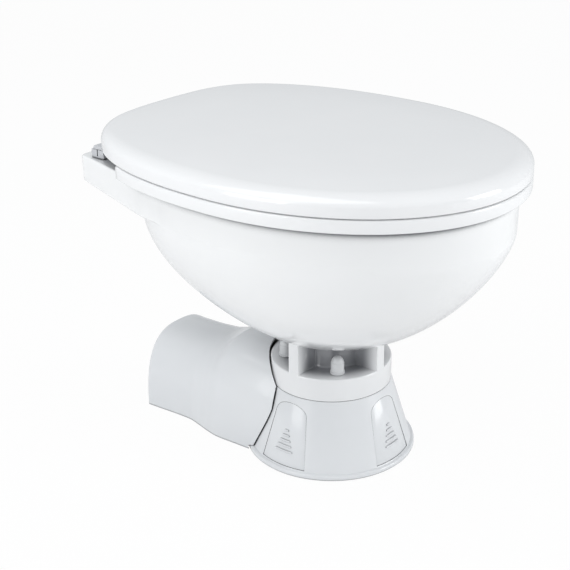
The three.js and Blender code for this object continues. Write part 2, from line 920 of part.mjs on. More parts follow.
function makeHatch(angle) {
  const plate = hatchPrism(fit, collarRadius - overrun, footRadius + overrun, angle)
    .intersect(flareLayer(0, hatchThickness));
  const ridges = Array.from({ length: ridgeCount }, (_, step) => {
    const height = ridgeLowest + step * ridgePitch;
    const half = ridgeHalfLong + ((ridgeHalfShort - ridgeHalfLong) * step) / (ridgeCount - 1);
    const radius = flareRadiusAt(height);
    const outwards = [radius - hatchThickness, radius + ridgeProud];
    return facingBlock(angle, [-half, half], [height, height + ridgeHeight], outwards);
  });
  const clips = [-1, 1].map((side) => {
    const deep = flareRadiusAt(clipRise + clipHeight) - hatchThickness;
    const centre = side * clipSpread;
    const sideways = [centre - clipWidth / 2, centre + clipWidth / 2];
    return facingBlock(angle, sideways, [clipRise, clipRise + clipHeight], [deep - clipLength, deep + embed]);
  });
  return join([plate, ...ridges, ...clips]);
}

function makeBowl() {
  const body = [
    circleLoop(collarRadius - collarBevel, collarBottom),
    circleLoop(collarRadius, collarBottom + collarBevel),
    circleLoop(collarRadius, bodyFoot),
  ];
  const inner = [
    circleLoop(drainRadius, collarBottom - overrun),
    circleLoop(drainRadius, throatHeight),
  ];
  for (let level = 1; level <= bodyLevels; level += 1) {
    const step = level / bodyLevels;
    const share = step ** 2 * bodyCrowdingShare + step * (1 - bodyCrowdingShare);
    const height = bodyFoot + (creaseHeight - bodyFoot) * share;
    body.push(bodyLoop(share, 0, height));
    if (height - chinaWall > throatHeight) inner.push(bodyLoop(share, chinaWall, height));
  }
  body.push(rimLoop(0, rimHeight - rimEdge));
  body.push(rimLoop(rimEdge, rimHeight));
  const channelTop = rimHeight - rimPlate;
  inner.push(rimLoop(chinaWall, channelTop));
  inner.push(openingLoop(-rimLip, channelTop));
  inner.push(openingLoop(-rimLip, rimHeight - rimLipDrop));
  inner.push(openingLoop(0, rimHeight - rimLipDrop));
  inner.push(openingLoop(0, rimHeight + overrun));
  const deckLoop = (half, rearHalf, heightAt) => {
    const corners = [];
    for (const side of [1, -1]) {
      for (let step = 0; step <= deckCornerSteps; step += 1) {
        const turn = (Math.PI / 2) * (step / deckCornerSteps);
        const angle = side > 0 ? turn : Math.PI / 2 + turn;
        corners.push([
          side * (rearHalf - deckCorner) + deckCorner * Math.cos(angle),
          deckRear - deckCorner + deckCorner * Math.sin(angle),
        ]);
      }
      corners.push(...(side > 0 ? [] : [[-half, deckFrontOffset], [half, deckFrontOffset]]));
    }
    return corners.map(([x, y]) => new THREE.Vector3(x, y, heightAt(y)));
  };
  const deck = loft([
    deckLoop(deckFrontHalf - deckTaper, deckRearHalf - deckTaper, deckUnderside),
    deckLoop(deckFrontHalf, deckRearHalf, () => rimHeight),
  ]);
  const boss = alongY(rod(inletBossRadius, inletInside, inletFace, innerSteps), 0, inletHeight);
  const inletHoleTool = rod(inletHole, inletInside - chinaWall, inletFace + overrun, innerSteps);
  const inletBore = alongY(inletHoleTool, 0, inletHeight);
  const pockets = [0, 1, 2, 3].map((quarter) => {
    const reach = collarRadius + overrun;
    const ceiling = pocketFloorHeight + pocketHeight;
    const wedge = block([postHalf, postHalf, pocketFloorHeight], [reach, reach, ceiling]);
    const round = ring(coreRadius, reach * Math.SQRT2, pocketFloorHeight, ceiling, turnSteps);
    return wedge.intersect(round).rotate([0, 0, quarter * 90]);
  });
  const boltHole = rod(boltRadius + fit, collarBottom - overrun, pocketFloorHeight + overrun, smallSteps);
  const deckHole = join([
    rod(deckBoltRadius + fit, deckSpot - overrun, rimHeight + overrun, smallSteps),
    rod(deckSpotRadius, deckSpot - deckThickness, deckSpot, smallSteps),
  ]);
  const deckHoles = bothSides(deckHole.translate([deckBoltSpread, deckBoltOffset, 0]));
  const tools = [loft(inner), inletBore, ...pockets, ...atCross(boltOffset, boltHole), deckHoles];
  return cut(join([loft(body), deck, boss]), tools);
}

function makeGasket() {
  const flat = ring(gasketInner, gasketOuter, baseHeight - gasketDepth + fit, baseHeight, turnSteps);
  const hole = rod(boltRadius + fit, baseHeight - gasketDepth, baseHeight + overrun, smallSteps);
  return cut(flat, atCross(boltOffset, hole));
}

function makeBowlBolt() {
  const head = rod(boltHeadRadius, boltNeck - boltHeadLength, boltNeck, hexSides);
  return join([head, rod(boltRadius, boltNeck - boltHeadLength, boltTip, smallSteps)]);
}

function makeCapNut() {
  const boreTop = boltTip + fit;
  const domeRadius = capRadius - capStep;
  const dome = Array.from({ length: domeSteps }, (_, step) => {
    const angle = (Math.PI / 2) * (step / domeSteps);
    const height = nutBottom + capShoulder + (capHeight - capShoulder) * Math.sin(angle);
    return [domeRadius * Math.cos(angle), height];
  });
  return turned([
    [0, boreTop],
    [boltRadius + fit, boreTop],
    [boltRadius + fit, nutBottom],
    [capFlange, nutBottom],
    [capFlange, nutBottom + capFlangeHeight],
    [capRadius, nutBottom + capFlangeHeight],
    [capRadius, nutBottom + capShoulder],
    ...dome,
    [0, nutBottom + capHeight],
  ], smallSteps);
}

// Seat ring with two rear arms that end in hinge knuckles
function makeSeat() {
  const ringBody = loft([
    lidLoop(seatEdge, seatBottom),
    lidLoop(0, seatBottom + seatEdge),
    lidLoop(0, seatTop - seatEdge),
    lidLoop(seatEdge, seatTop),
  ]);
  const hole = loft([
    oval(seatOpening(0, seatBottom - overrun)),
    oval(seatOpening(0, seatTop - openingFlare)),
    oval(seatOpening(-openingFlare, seatTop + openingFlare)),
  ]);
  const rearCut = block(
    [-lidHalfWidth, seatRear, seatBottom - overrun],
    [lidHalfWidth, deckRear, seatTop + overrun],
  );
  const armBottom = seatBottom + fit;
  const armOuter = seatKnuckleInner + knuckleWidth;
  const arm = block(
    [seatKnuckleInner, seatRear - embed, armBottom],
    [armOuter, hingeAxisOffset, armBottom + armThickness],
  );
  const knuckle = onHinge(rod(knuckleRadius, seatKnuckleInner, armOuter, smallSteps));
  const bore = onHinge(rod(pinRadius + fit, seatKnuckleInner - overrun, armOuter + overrun, smallSteps));
  const socket = rod(bumperRadius + fit, seatBottom - overrun, seatBottom + bumperSink + fit, smallSteps);
  const sockets = bumperPlaces().map((place) => socket.translate(place));
  const whole = join([cut(ringBody, [hole, rearCut]), bothSides(join([arm, knuckle]))]);
  return cut(whole, [bothSides(bore), ...sockets]);
}

// The seat's bumpers sit midway between its opening and its outer edge.
function bumperPlaces() {
  return [bumperFrontTurn, bumperRearTurn].flatMap((turn) => {
    const angle = THREE.MathUtils.degToRad(turn);
    const inside = ovalPoint(seatOpening(0, 0), angle);
    const outside = ovalPoint(lidOval(0, 0), angle);
    const x = (inside.x + outside.x) / 2;
    const y = (inside.y + outside.y) / 2;
    return [[-x, y, 0], [x, y, 0]];
  });
}

// The lid's bumpers sit in its edge, at the given distance from its outline.
function lidBumperPlace() {
  const place = ovalPoint(lidOval(lidBumperInset, 0), THREE.MathUtils.degToRad(lidBumperTurn));
  return [place.x, place.y, 0];
}

// Lid: a shallow shell with a soft upper edge and two hinge lugs
function makeLid() {
  const edgeLow = lidTop - lidCrown - lidEdgeRise;
  const layers = [lidLoop(seatEdge, lidBottom), lidLoop(0, lidBottom + seatEdge)];
  for (let step = 0; step <= edgeSteps; step += 1) {
    const angle = (Math.PI / 2) * (step / edgeSteps);
    const inset = lidEdgeInset * (1 - Math.cos(angle));
    const height = edgeLow + lidEdgeRise * Math.sin(angle);
    layers.push(lidLoop(inset, height, inset * lidRearEdgeShare));
  }
  layers.push(lidLoop(lidCrownInset, lidTop));
  const recess = loft([
    lidLoop(lidRecessInset, lidBottom - overrun),
    lidLoop(lidRecessInset + lidRecessDraft, lidBottom + lidRecessDepth),
  ]);
  const socket = rod(lidBumperRadius + fit, lidBottom - overrun, lidBottom + bumperSink + fit, smallSteps)
    .translate(lidBumperPlace());
  const lugOuter = lidKnuckleInner + knuckleWidth;
  const web = block(
    [lidKnuckleInner, hingeAxisOffset - lugWebHalf, hingeHeight],
    [lugOuter, hingeAxisOffset + lugWebHalf, lidBottom + seatEdge + embed],
  );
  const knuckle = onHinge(rod(knuckleRadius, lidKnuckleInner, lugOuter, smallSteps));
  const bore = onHinge(rod(pinRadius + fit, lidKnuckleInner - overrun, lugOuter + overrun, smallSteps));
  const whole = join([cut(loft(layers), [recess]), bothSides(join([web, knuckle]))]);
  return cut(whole, [bothSides(bore), bothSides(socket)]);
}

function makeBracket() {
  const bottom = rimHeight + fit;
  const lugOuter = bracketInner + bracketLug;
  const body = block([bracketInner, bracketFront, bottom], [bracketOuter, bracketRear, bracketTop]);
  const web = block([bracketInner, bracketRear - embed, bottom], [lugOuter, hingeAxisOffset, bracketTop]);
  const lug = onHinge(rod(knuckleRadius, bracketInner, lugOuter, smallSteps));
  const bore = onHinge(rod(pinRadius + fit, bracketInner - overrun, lugOuter - bracketLugWall, smallSteps));
  const place = [deckBoltSpread, deckBoltOffset, 0];
  const boltHole = rod(deckBoltRadius + fit, bottom - overrun, bracketTop, smallSteps).translate(place);
  const headRoom = rod(deckBoltHead + fit, deckBoltNeck - fit, bracketTop + overrun, smallSteps)
    .translate(place);
  const slotMiddle = (bracketFront + bracketRear) / 2;
  const slot = block(
    [bracketOuter - prySlotDepth, slotMiddle - prySlotWidth / 2, bracketTop - prySlotHeight],
    [bracketOuter + overrun, slotMiddle + prySlotWidth / 2, bracketTop + overrun],
  );
  return cut(join([body, web, lug]), [bore, boltHole, headRoom, slot]);
}

function makeHingeCap() {
  const bottom = bracketTop + fit;
  const rear = hingeAxisOffset - knuckleRadius - fit;
  const layer = (inset, height) => [
    new THREE.Vector3(bracketInner + inset, bracketFront + inset, height),
    new THREE.Vector3(bracketOuter - inset, bracketFront + inset, height),
    new THREE.Vector3(bracketOuter - inset, rear - inset, height),
    new THREE.Vector3(bracketInner + inset, rear - inset, height),
  ];
  const layers = [layer(0, bottom)];
  for (let step = 0; step <= domeSteps; step += 1) {
    const angle = (Math.PI / 2) * (step / domeSteps);
    const height = bottom + capThickness - capCrown * (1 - Math.sin(angle));
    layers.push(layer(capCrown * (1 - Math.cos(angle)), height));
  }
  return loft(layers);
}

function makeHingePin() {
  const neck = lidKnuckleInner - fit;
  const tip = bracketInner + bracketLug - bracketLugWall - fit;
  return onHinge(headed(pinHeadRadius, neck - pinHeadLength, neck, pinRadius, tip));
}

function makeDeckBolt() {
  const tip = wingNutTop - wingNutLength - deckBoltTail;
  return headed(deckBoltHead, bracketTop - fit, deckBoltNeck, deckBoltRadius, tip);
}

function makeWingNut() {
  const bottom = wingNutTop - wingNutLength;
  const flangeBottom = wingNutTop - wingNutFlangeHeight;
  const wings = block([-wingSpan, -wingThickness / 2, bottom], [wingSpan, wingThickness / 2, flangeBottom]);
  const flange = rod(wingNutFlange, flangeBottom, wingNutTop, smallSteps);
  const bore = rod(deckBoltRadius + fit, bottom - overrun, wingNutTop + overrun, smallSteps);
  return cut(join([rod(wingNutRadius, bottom, wingNutTop, smallSteps), flange, wings]), [bore]);
}

function makeInletBush() {
  const flangeFront = inletFace + fit;
  return alongY(turnedRing([
    [spoutRadius + fit, inletInside],
    [inletHole - fit, inletInside],
    [inletHole - fit, flangeFront],
    [bushFlange, flangeFront],
    [bushFlange, flangeFront + bushFlangeThickness],
    [spoutRadius + fit, flangeFront + bushFlangeThickness],
  ], innerSteps), 0, inletHeight);
}

function makeInletElbow() {
  const spoutFront = inletFace - spoutDepth;
  const spout = alongY(rod(spoutRadius, spoutFront, legOffset, innerSteps), 0, inletHeight);
  const bore = spoutRadius - spoutWall;
  const spoutBore = alongY(rod(bore, spoutFront - overrun, legOffset, innerSteps), 0, inletHeight);
  const legBottom = inletHeight - legLength;
  const leg = rod(legRadius, legBottom, inletHeight, innerSteps).translate([0, legOffset, 0]);
  const legBore = rod(bore, legBottom - overrun, inletHeight, innerSteps).translate([0, legOffset, 0]);
  const corner = ball(legBallRadius, smallSteps).translate([0, legOffset, inletHeight]);
  return cut(join([spout, leg, corner]), [spoutBore, legBore]);
}

function makeMotorCover() {
  const gap = coverSeam;
  const cleared = turned([
    [0, -overrun],
    [footRadius + gap, -overrun],
    ...skinOutline(gap),
    [collarRadius + gap, baseHeight],
    [collarRadius + gap, rimHeight],
    [0, rimHeight],
  ], turnSteps);
  const hoseGate = block(
    [-barbCentre - hoseGateWidth / 2, coverRear - coverEndWall - overrun, -overrun],
    [-barbCentre + hoseGateWidth / 2, coverRear + overrun, hoseGateHeight],
  );
  const cableGate = block(
    [cableGateOffset - cableGateWidth / 2, coverRear - coverEndWall - overrun, -overrun],
    [cableGateOffset + cableGateWidth / 2, coverRear + overrun, cableGateHeight],
  );
  const room = coverTunnel(coverWall, overrun, coverEndWall);
  return cut(coverTunnel(0, 0, 0), [room, cleared, hoseGate, cableGate]);
}

function makePumpHousing() {
  const spigotBore = spigotRadius - spigotWall;
  const spigotFront = pumpFront - spigotLength;
  const ringMiddle = pumpFront - spigotRingOffset;
  const grooveHalf = spigotRingSection + ringPlay;
  const grooveFloor = spigotRadius - spigotRingSection - grooveHalf;
  const chamberFront = pumpFront + pumpFrontPlate;
  const body = onAxle(turnedRing([
    [spigotBore, spigotFront],
    [spigotRadius, spigotFront],
    [spigotRadius, ringMiddle - grooveHalf],
    [grooveFloor, ringMiddle - grooveHalf],
    [grooveFloor, ringMiddle + grooveHalf],
    [spigotRadius, ringMiddle + grooveHalf],
    [spigotRadius, pumpFront],
    [pumpRadius, pumpFront],
    [pumpRadius, pumpRear],
    [pumpBore, pumpRear],
    [pumpBore, chamberFront],
    [spigotBore, chamberFront],
  ], innerSteps));
  const port = alongX(rod(portRadius, pumpBore, portReach, innerSteps), portOffset, axleHeight);
  const portBore = alongX(rod(passageRadius, 0, portReach + overrun, innerSteps), portOffset, axleHeight);
  const chamber = onAxle(rod(pumpBore, chamberFront, pumpRear + overrun, innerSteps));
  const screwHole = join([
    rod(pumpScrewRadius + fit, pumpFront - overrun, pumpRear + overrun, smallSteps),
    rod(pumpScrewHead + fit, pumpFront - overrun, pumpFront + pumpScrewHeadLength + fit, smallSteps),
  ]);
  const screwHoles = atCross(pumpScrewOffset, screwHole).map(onAxle);
  return mirrored(cut(join([body, port]), [portBore, chamber, ...screwHoles]));
}

function makeSpigotRing() {
  const circle = spigotRadius - spigotRingSection;
  return onAxle(sealRing(circle, spigotRingSection, pumpFront - spigotRingOffset));
}

function makeChopperPlate() {
  const front = pumpFront + pumpFrontPlate + fit;
  const rear = front + chopperThickness;
  const holes = Array.from({ length: chopperHoles }, (_, step) => {
    const angle = (2 * Math.PI * step) / chopperHoles;
    const place = [chopperHoleCircle * Math.cos(angle), chopperHoleCircle * Math.sin(angle), 0];
    return rod(chopperHole, front - overrun, rear + overrun, smallSteps).translate(place);
  });
  return onAxle(cut(rod(pumpBore - fit, front, rear, innerSteps), holes));
}

function makeBlades() {
  const rear = bladeFront + bladeThickness;
  const hub = rod(impellerHub, bladeFront, rear, smallSteps);
  const bar = block([-bladeReach, -bladeWidth / 2, bladeFront], [bladeReach, bladeWidth / 2, rear]);
  const bore = rod(boreRadius, bladeFront - overrun, rear + overrun, smallSteps);
  return onAxle(cut(join([hub, bar]), [bore]));
}

function makeImpeller() {
  const rear = pumpRear - impellerRearGap;
  const discFront = rear - impellerDisc;
  const front = bladeFront + bladeThickness + fit;
  const vane = block(
    [impellerHub - embed, -vaneThickness / 2, discFront - vaneHeight],
    [impellerRadius - embed, vaneThickness / 2, discFront + embed],
  );
  const vanes = turnedCopies(vane, vaneCount);
  const hub = rod(impellerHub, front, rear, smallSteps);
  const disc = rod(impellerRadius, discFront, rear, innerSteps);
  const bore = rod(boreRadius, front - overrun, rear + overrun, smallSteps);
  return onAxle(cut(join([hub, disc, ...vanes]), [bore]));
}

function makeBackPlate() {
  const grooveHalf = ringSection + ringPlay;
  const groove = ring(
    ringCircle - grooveHalf,
    ringCircle + grooveHalf,
    backFront - overrun,
    backFront + 2 * ringSection + ringPlay,
    innerSteps,
  );
  const sealSeat = rod(sealRadius + fit, backFront - overrun, backFront + sealLength + fit, innerSteps);
  const hole = rod(pumpScrewRadius + fit, backFront - overrun, backRear + overrun, smallSteps);
  const plate = ring(boreRadius, pumpRadius, backFront, backRear, innerSteps);
  return onAxle(cut(plate, [groove, sealSeat, ...atCross(pumpScrewOffset, hole)]));
}

function makePumpRing() {
  return onAxle(sealRing(ringCircle, ringSection, backFront + ringSection));
}

function makeShaftSeal() {
  return onAxle(ring(boreRadius, sealRadius, backFront, backFront + sealLength, innerSteps));
}

function makePumpScrew() {
  const neck = pumpFront + pumpScrewHeadLength;
  return headed(pumpScrewHead, pumpFront, neck, pumpScrewRadius, motorFront + pumpScrewBite);
}

function makeMotorCan() {
  const inner = pumpRadius - motorWall;
  const seat = bearingRadius + fit;
  const can = turnedRing([
    [boreRadius, motorFront],
    [pumpRadius, motorFront],
    [pumpRadius, motorRear],
    [inner, motorRear],
    [inner, motorInner],
    [seat, motorInner],
    [seat, motorInner - bearingLength - fit],
    [boreRadius, motorInner - bearingLength - fit],
  ], innerSteps);
  const hole = rod(pumpScrewRadius + fit, motorFront - overrun, motorFront + pumpScrewBite + fit, smallSteps);
  return onAxle(cut(can, atCross(pumpScrewOffset, hole)));
}

function makeBearing(front) {
  return onAxle(ring(boreRadius, bearingRadius, front, front + bearingLength, innerSteps));
}

function makeMagnet() {
  const outer = pumpRadius - motorWall - fit;
  const front = motorFront + magnetStart;
  return onAxle(ring(outer - magnetThickness, outer, front, front + magnetLength, innerSteps));
}

// Armature: shaft, slotted core, the winding heads at both ends of the core, and the commutator
function makeArmature() {
  const shaft = rod(shaftRadius, bladeFront, bellInner + bearingLength, smallSteps);
  const core = rod(armatureRadius, armatureFront, armatureRear, innerSteps);
  const windings = rod(windingRadius, armatureFront - windingLength, commutatorFront, innerSteps);
  const commutator = rod(commutatorRadius, armatureRear, commutatorFront + commutatorLength, innerSteps);
  const slot = block(
    [armatureRadius - armatureSlotDepth, -armatureSlotWidth / 2, armatureFront - overrun],
    [armatureRadius + overrun, armatureSlotWidth / 2, armatureRear + overrun],
  );
  const slots = turnedCopies(slot, armatureSlots);
  return onAxle(join([cut(core, slots), windings, commutator, shaft]));
}

// A brush bears on the commutator, in a holder that reaches in from the end bell.
function makeBrush() {
  const inner = commutatorRadius + fit;
  return block(
    [inner, brushMiddle - brushWidth / 2, axleHeight - brushHeight / 2],
    [inner + brushLength, brushMiddle + brushWidth / 2, axleHeight + brushHeight / 2],
  );
}

function makeEndBell() {
  const seat = bearingRadius + fit;
  const seatFloor = bellInner + bearingLength + fit;
  const shell = onAxle(turned([
    [pumpRadius - bellWall, bellFront],
    [pumpRadius, bellFront],
    [pumpRadius, bellRear],
    [0, bellRear],
    [0, seatFloor],
    [seat, seatFloor],
    [seat, bellInner],
    [pumpRadius - bellWall, bellInner],
    [pumpRadius - bellWall, bellFront],
  ], innerSteps));
  const inner = commutatorRadius + fit + brushHolderWall;
  const halfHeight = brushHeight / 2 + fit;
  const halfWidth = brushWidth / 2 + fit;
  const outer = inner + brushLength;
  const holder = block(
    [inner, brushMiddle - halfWidth - brushHolderWall, axleHeight - halfHeight - brushHolderWall],
    [outer, bellInner + embed, axleHeight + halfHeight + brushHolderWall],
  );
  const channel = block(
    [0, brushMiddle - halfWidth, axleHeight - halfHeight],
    [outer + overrun, brushMiddle + halfWidth, axleHeight + halfHeight],
  );
  const height = axleHeight + terminalRise;
  const terminal = block(
    [terminalSpread - terminalWidth / 2, bellRear - terminalRoot, height - terminalThickness / 2],
    [terminalSpread + terminalWidth / 2, bellRear + terminalLength, height + terminalThickness / 2],
  );
  return cut(join([shell, bothSides(holder), bothSides(terminal)]), [bothSides(channel)]);
}

function makeDischargeElbow() {
  const branchEnd = portOffset + elbowBranch;
  const barbEnd = portOffset + barbReach;
  const socketRod = rod(elbowRadius, portReach - elbowGrip, barbCentre, innerSteps);
  const socket = alongX(socketRod, portOffset, axleHeight);
  const corner = ball(elbowRadius, innerSteps).translate([barbCentre, portOffset, axleHeight]);
  const branch = alongY(rod(elbowRadius, portOffset, branchEnd, innerSteps), barbCentre, axleHeight);
  const ridges = Array.from({ length: barbRidges }, (_, step) => {
    const high = barbEnd - step * barbRidgePitch;
    return [[barbRadius - barbRidge, high], [barbRadius + barbRidge, high - barbRidgePitch / 2]];
  });
  const barb = alongY(turned([
    [0, barbEnd],
    ...ridges.flat(),
    [barbRadius - barbRidge, branchEnd - embed],
    [0, branchEnd - embed],
  ], innerSteps), barbCentre, axleHeight);
  const socketBore = alongX(
    rod(portRadius + fit, portReach - elbowGrip - overrun, portReach + fit, innerSteps),
    portOffset,
    axleHeight,
  );
  const sideBore = alongX(rod(passageRadius, portReach, barbCentre, innerSteps), portOffset, axleHeight);
  const outTool = rod(passageRadius, portOffset, barbEnd + overrun, innerSteps);
  const outBore = alongY(outTool, barbCentre, axleHeight);
  const cornerBore = ball(passageRadius, innerSteps).translate([barbCentre, portOffset, axleHeight]);
  return mirrored(cut(join([socket, corner, branch, barb]), [socketBore, sideBore, outBore, cornerBore]));
}

// Joker valve: a rubber duckbill with its slit downstream
function makeJokerValve() {
  const front = portOffset + valveInset;
  const rear = front + valveLength;
  const outer = passageRadius - fit;
  const neck = outer - valveNeck;
  const flange = rod(outer, front, front + valveFlange, innerSteps);
  const bill = loft([
    ellipseLoop(neck, neck, front, innerSteps),
    ellipseLoop(neck, neck, front + 2 * valveFlange, innerSteps),
    ellipseLoop(neck, valveTip, rear, innerSteps),
  ]);
  const bore = neck - valveSkin;
  const passage = loft([
    ellipseLoop(bore, bore, front - overrun, innerSteps),
    ellipseLoop(bore, bore, front + 2 * valveFlange, innerSteps),
    ellipseLoop(bore, valveSlit, rear + fit, innerSteps),
  ]);
  return mirrored(alongY(cut(join([flange, bill]), [passage]), barbCentre, axleHeight));
}

function makeMotorStrap() {
  const inner = pumpRadius + fit;
  const outer = inner + strapThickness;
  const front = strapOffset - strapWidth / 2;
  const rear = strapOffset + strapWidth / 2;
  const footBottom = bossRise + fit;
  const band = onAxle(ring(inner, outer, front, rear, innerSteps));
  const lower = block([-outer - overrun, front - overrun, 0], [outer + overrun, rear + overrun, axleHeight]);
  const leg = block([inner, front, footBottom], [outer, rear, axleHeight + embed]);
  const foot = block([inner, front, footBottom], [outer + strapFoot, rear, footBottom + strapThickness]);
  const hole = rod(strapScrewRadius + fit, 0, axleHeight, smallSteps)
    .translate([strapBossSpread, strapOffset, 0]);
  return cut(join([cut(band, [lower]), bothSides(join([leg, foot]))]), [bothSides(hole)]);
}

function makeStrapScrew() {
  const neck = bossRise + fit + strapThickness + fit;
  const tip = neck - strapScrewLength;
  return headed(strapScrewHead, neck + strapScrewHeadLength, neck, strapScrewRadius, tip)
    .translate([strapBossSpread, strapOffset, 0]);
}

piece('base', makeBase(), moulding);
for (const [side, angle] of Object.entries(hatchSides)) {
  piece(`screw_cover_${side}`, makeHatch(angle), moulding);
}
piece('motor_cover', makeMotorCover(), moulding);

piece('bowl', makeBowl(), china);
piece('bowl_gasket', makeGasket(), rubber);
series('bowl_bolt', atCross(boltOffset, makeBowlBolt()), steel);
series('cap_nut', atCross(boltOffset, makeCapNut()), nylon);

piece('seat', makeSeat(), seatPlastic);
const seatBumper = rod(bumperRadius, rimHeight + fit, seatBottom + bumperSink, smallSteps);
series('seat_bumper', bumperPlaces().map((place) => seatBumper.translate(place)), rubber);
piece('lid', makeLid(), seatPlastic);
const lidBumper = rod(lidBumperRadius, seatTop + fit, lidBottom + bumperSink, smallSteps);
pair('lid_bumper', lidBumper.translate(lidBumperPlace()), rubber);

const deckPlace = [deckBoltSpread, deckBoltOffset, 0];
pair('hinge_bracket', makeBracket(), nylon);
pair('hinge_cap', makeHingeCap(), nylon);
pair('hinge_pin', makeHingePin(), steel);
pair('deck_bolt', makeDeckBolt().translate(deckPlace), steel);
pair('wing_nut', makeWingNut().translate(deckPlace), nylon);

piece('inlet_bush', makeInletBush(), rubber);
piece('inlet_elbow', makeInletElbow(), nylon);

piece('macerator_housing', makePumpHousing(), black);
piece('spigot_ring', makeSpigotRing(), rubber);
piece('chopper_plate', makeChopperPlate(), steel);
piece('macerator_blades', makeBlades(), steel);
piece('impeller', makeImpeller(), black);
piece('pump_o_ring', makePumpRing(), rubber);
piece('pump_back_plate', makeBackPlate(), black);
piece('shaft_seal', makeShaftSeal(), rubber);
series('pump_screw', atCross(pumpScrewOffset, makePumpScrew()).map(onAxle), steel);

piece('motor_can', makeMotorCan(), motorPaint);
piece('field_magnet', makeMagnet(), ferrite);
piece('armature', makeArmature(), copper);
pair('brush', makeBrush(), ferrite);
piece('front_bearing', makeBearing(motorInner - bearingLength), steel);
piece('rear_bearing', makeBearing(bellInner), steel);
piece('end_bell', makeEndBell(), black);
piece('motor_strap', makeMotorStrap(), steel);
pair('strap_screw', makeStrapScrew(), steel);

piece('discharge_elbow', makeDischargeElbow(), black);
piece('joker_valve', makeJokerValve(), rubber);

// The origin is on the floor under the middle of the whole, from the lid's front to the deck's rear edge.
toilet.position.y = -(deckRear - lidFront) / 2;

export default toilet;
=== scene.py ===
import math

import bmesh
import bpy
import numpy as np
from mathutils import Matrix, Vector


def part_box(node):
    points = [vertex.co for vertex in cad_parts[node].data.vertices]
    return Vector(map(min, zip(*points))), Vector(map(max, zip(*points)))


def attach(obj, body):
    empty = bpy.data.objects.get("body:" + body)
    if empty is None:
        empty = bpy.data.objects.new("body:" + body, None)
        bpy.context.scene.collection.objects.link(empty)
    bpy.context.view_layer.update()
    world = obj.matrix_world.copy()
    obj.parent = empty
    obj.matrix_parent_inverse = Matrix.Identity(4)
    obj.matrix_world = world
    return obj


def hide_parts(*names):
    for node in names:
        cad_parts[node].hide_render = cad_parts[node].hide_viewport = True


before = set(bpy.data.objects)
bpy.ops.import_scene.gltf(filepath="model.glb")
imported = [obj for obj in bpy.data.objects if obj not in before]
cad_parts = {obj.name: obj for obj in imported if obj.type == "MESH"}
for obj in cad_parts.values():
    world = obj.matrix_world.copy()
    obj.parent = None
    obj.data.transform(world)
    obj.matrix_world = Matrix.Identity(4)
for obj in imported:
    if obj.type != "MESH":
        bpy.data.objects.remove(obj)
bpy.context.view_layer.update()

# Base moulding
# The base is one injection moulding of glossy white plastic: a flared skirt with a low lip on the floor,
# a well under the bowl with a duct to the pump, and a flat tray behind that carries the motor's saddles.
# Its upper face takes the bowl; floor screws go down inside it, behind the three screw covers.
MM = 0.001
fit = 0.35
base_low, base_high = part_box("base")
foot_radius = (base_high.x - base_low.x) / 2 / MM
axis_y = base_low.y + foot_radius * MM
base_height = base_high.z / MM
foot_lip = 3.2
foot_lip_radius = 2.4
foot_lip_edge = 0.8
flare_foot = 88.3
flare_rise = 5.8
seam_radius = 66.3
skirt_edge = 0.6
base_wall = 5.0
top_plate = 6.0
gasket_inner = 42.0
gasket_outer = 58.0
gasket_depth = 2.0
well_radius = 25.0
well_wall = 4.0
well_floor = 22.0
axle_height = 39.0
pump_front = 58.6
pump_radius = 32.5
duct_radius = 16.85
duct_bore = 12.85
gate_half = 56.0
tray_thickness = 4.0
tray_screw_half = 30.0
tray_screw_place = 200.0
saddle_half = 26.0
saddle_rise = 20.0
saddle_thickness = 8.0
saddle_places = (100.0, 160.0)
boss_spread = 40.35
boss_place = 134.0
boss_radius = 5.0
boss_rise = 8.0
tab_radius = 72.0
tab_half = 12.0
tab_thickness = 5.0
floor_screw_hole = 3.5
strap_screw_hole = 2.25
# Painted shade in seams and inner corners: how far it looks for cover, and where it starts and is full.
seam_shade_reach = 4.0
seam_open = 0.8
seam_shut = 0.4
quarters = ((1, 1), (-1, 1), (-1, -1), (1, -1))


def principled(name, color, roughness, metallic=0.0, coat=0.0):
    """A shader with the finish's own values on its sockets."""
    material = bpy.data.materials.new(name)
    material.use_nodes = True
    shader = material.node_tree.nodes["Principled BSDF"]
    shader.inputs["Base Color"].default_value = (*color, 1.0)
    shader.inputs["Roughness"].default_value = roughness
    shader.inputs["Metallic"].default_value = metallic
    shader.inputs["Coat Weight"].default_value = coat
    shader.inputs["Coat Roughness"].default_value = 0.04
    return material, shader


def cloud(material, scale, detail=3.0):
    """A noise pattern over the piece, read from its own coordinates."""
    nodes = material.node_tree.nodes
    place = nodes.new("ShaderNodeTexCoord")
    noise = nodes.new("ShaderNodeTexNoise")
    noise.inputs["Scale"].default_value = scale
    noise.inputs["Detail"].default_value = detail
    material.node_tree.links.new(place.outputs["Object"], noise.inputs["Vector"])
    return noise


def vary_roughness(material, shader, noise, low, high):
    """Roughness wanders between two values with the noise."""
    spread = material.node_tree.nodes.new("ShaderNodeMapRange")
    spread.inputs["To Min"].default_value = low
    spread.inputs["To Max"].default_value = high
    links = material.node_tree.links
    links.new(noise.outputs["Fac"], spread.inputs["Value"])
    links.new(spread.outputs["Result"], shader.inputs["Roughness"])


def vary_color(material, shader, noise, first, second):
    """The colour wanders between two near shades with the noise."""
    ramp = material.node_tree.nodes.new("ShaderNodeValToRGB")
    ramp.color_ramp.elements[0].position = 0.35
    ramp.color_ramp.elements[0].color = (*first, 1.0)
    ramp.color_ramp.elements[1].position = 0.65
    ramp.color_ramp.elements[1].color = (*second, 1.0)
    links = material.node_tree.links
    links.new(noise.outputs["Fac"], ramp.inputs["Fac"])
    links.new(ramp.outputs["Color"], shader.inputs["Base Color"])


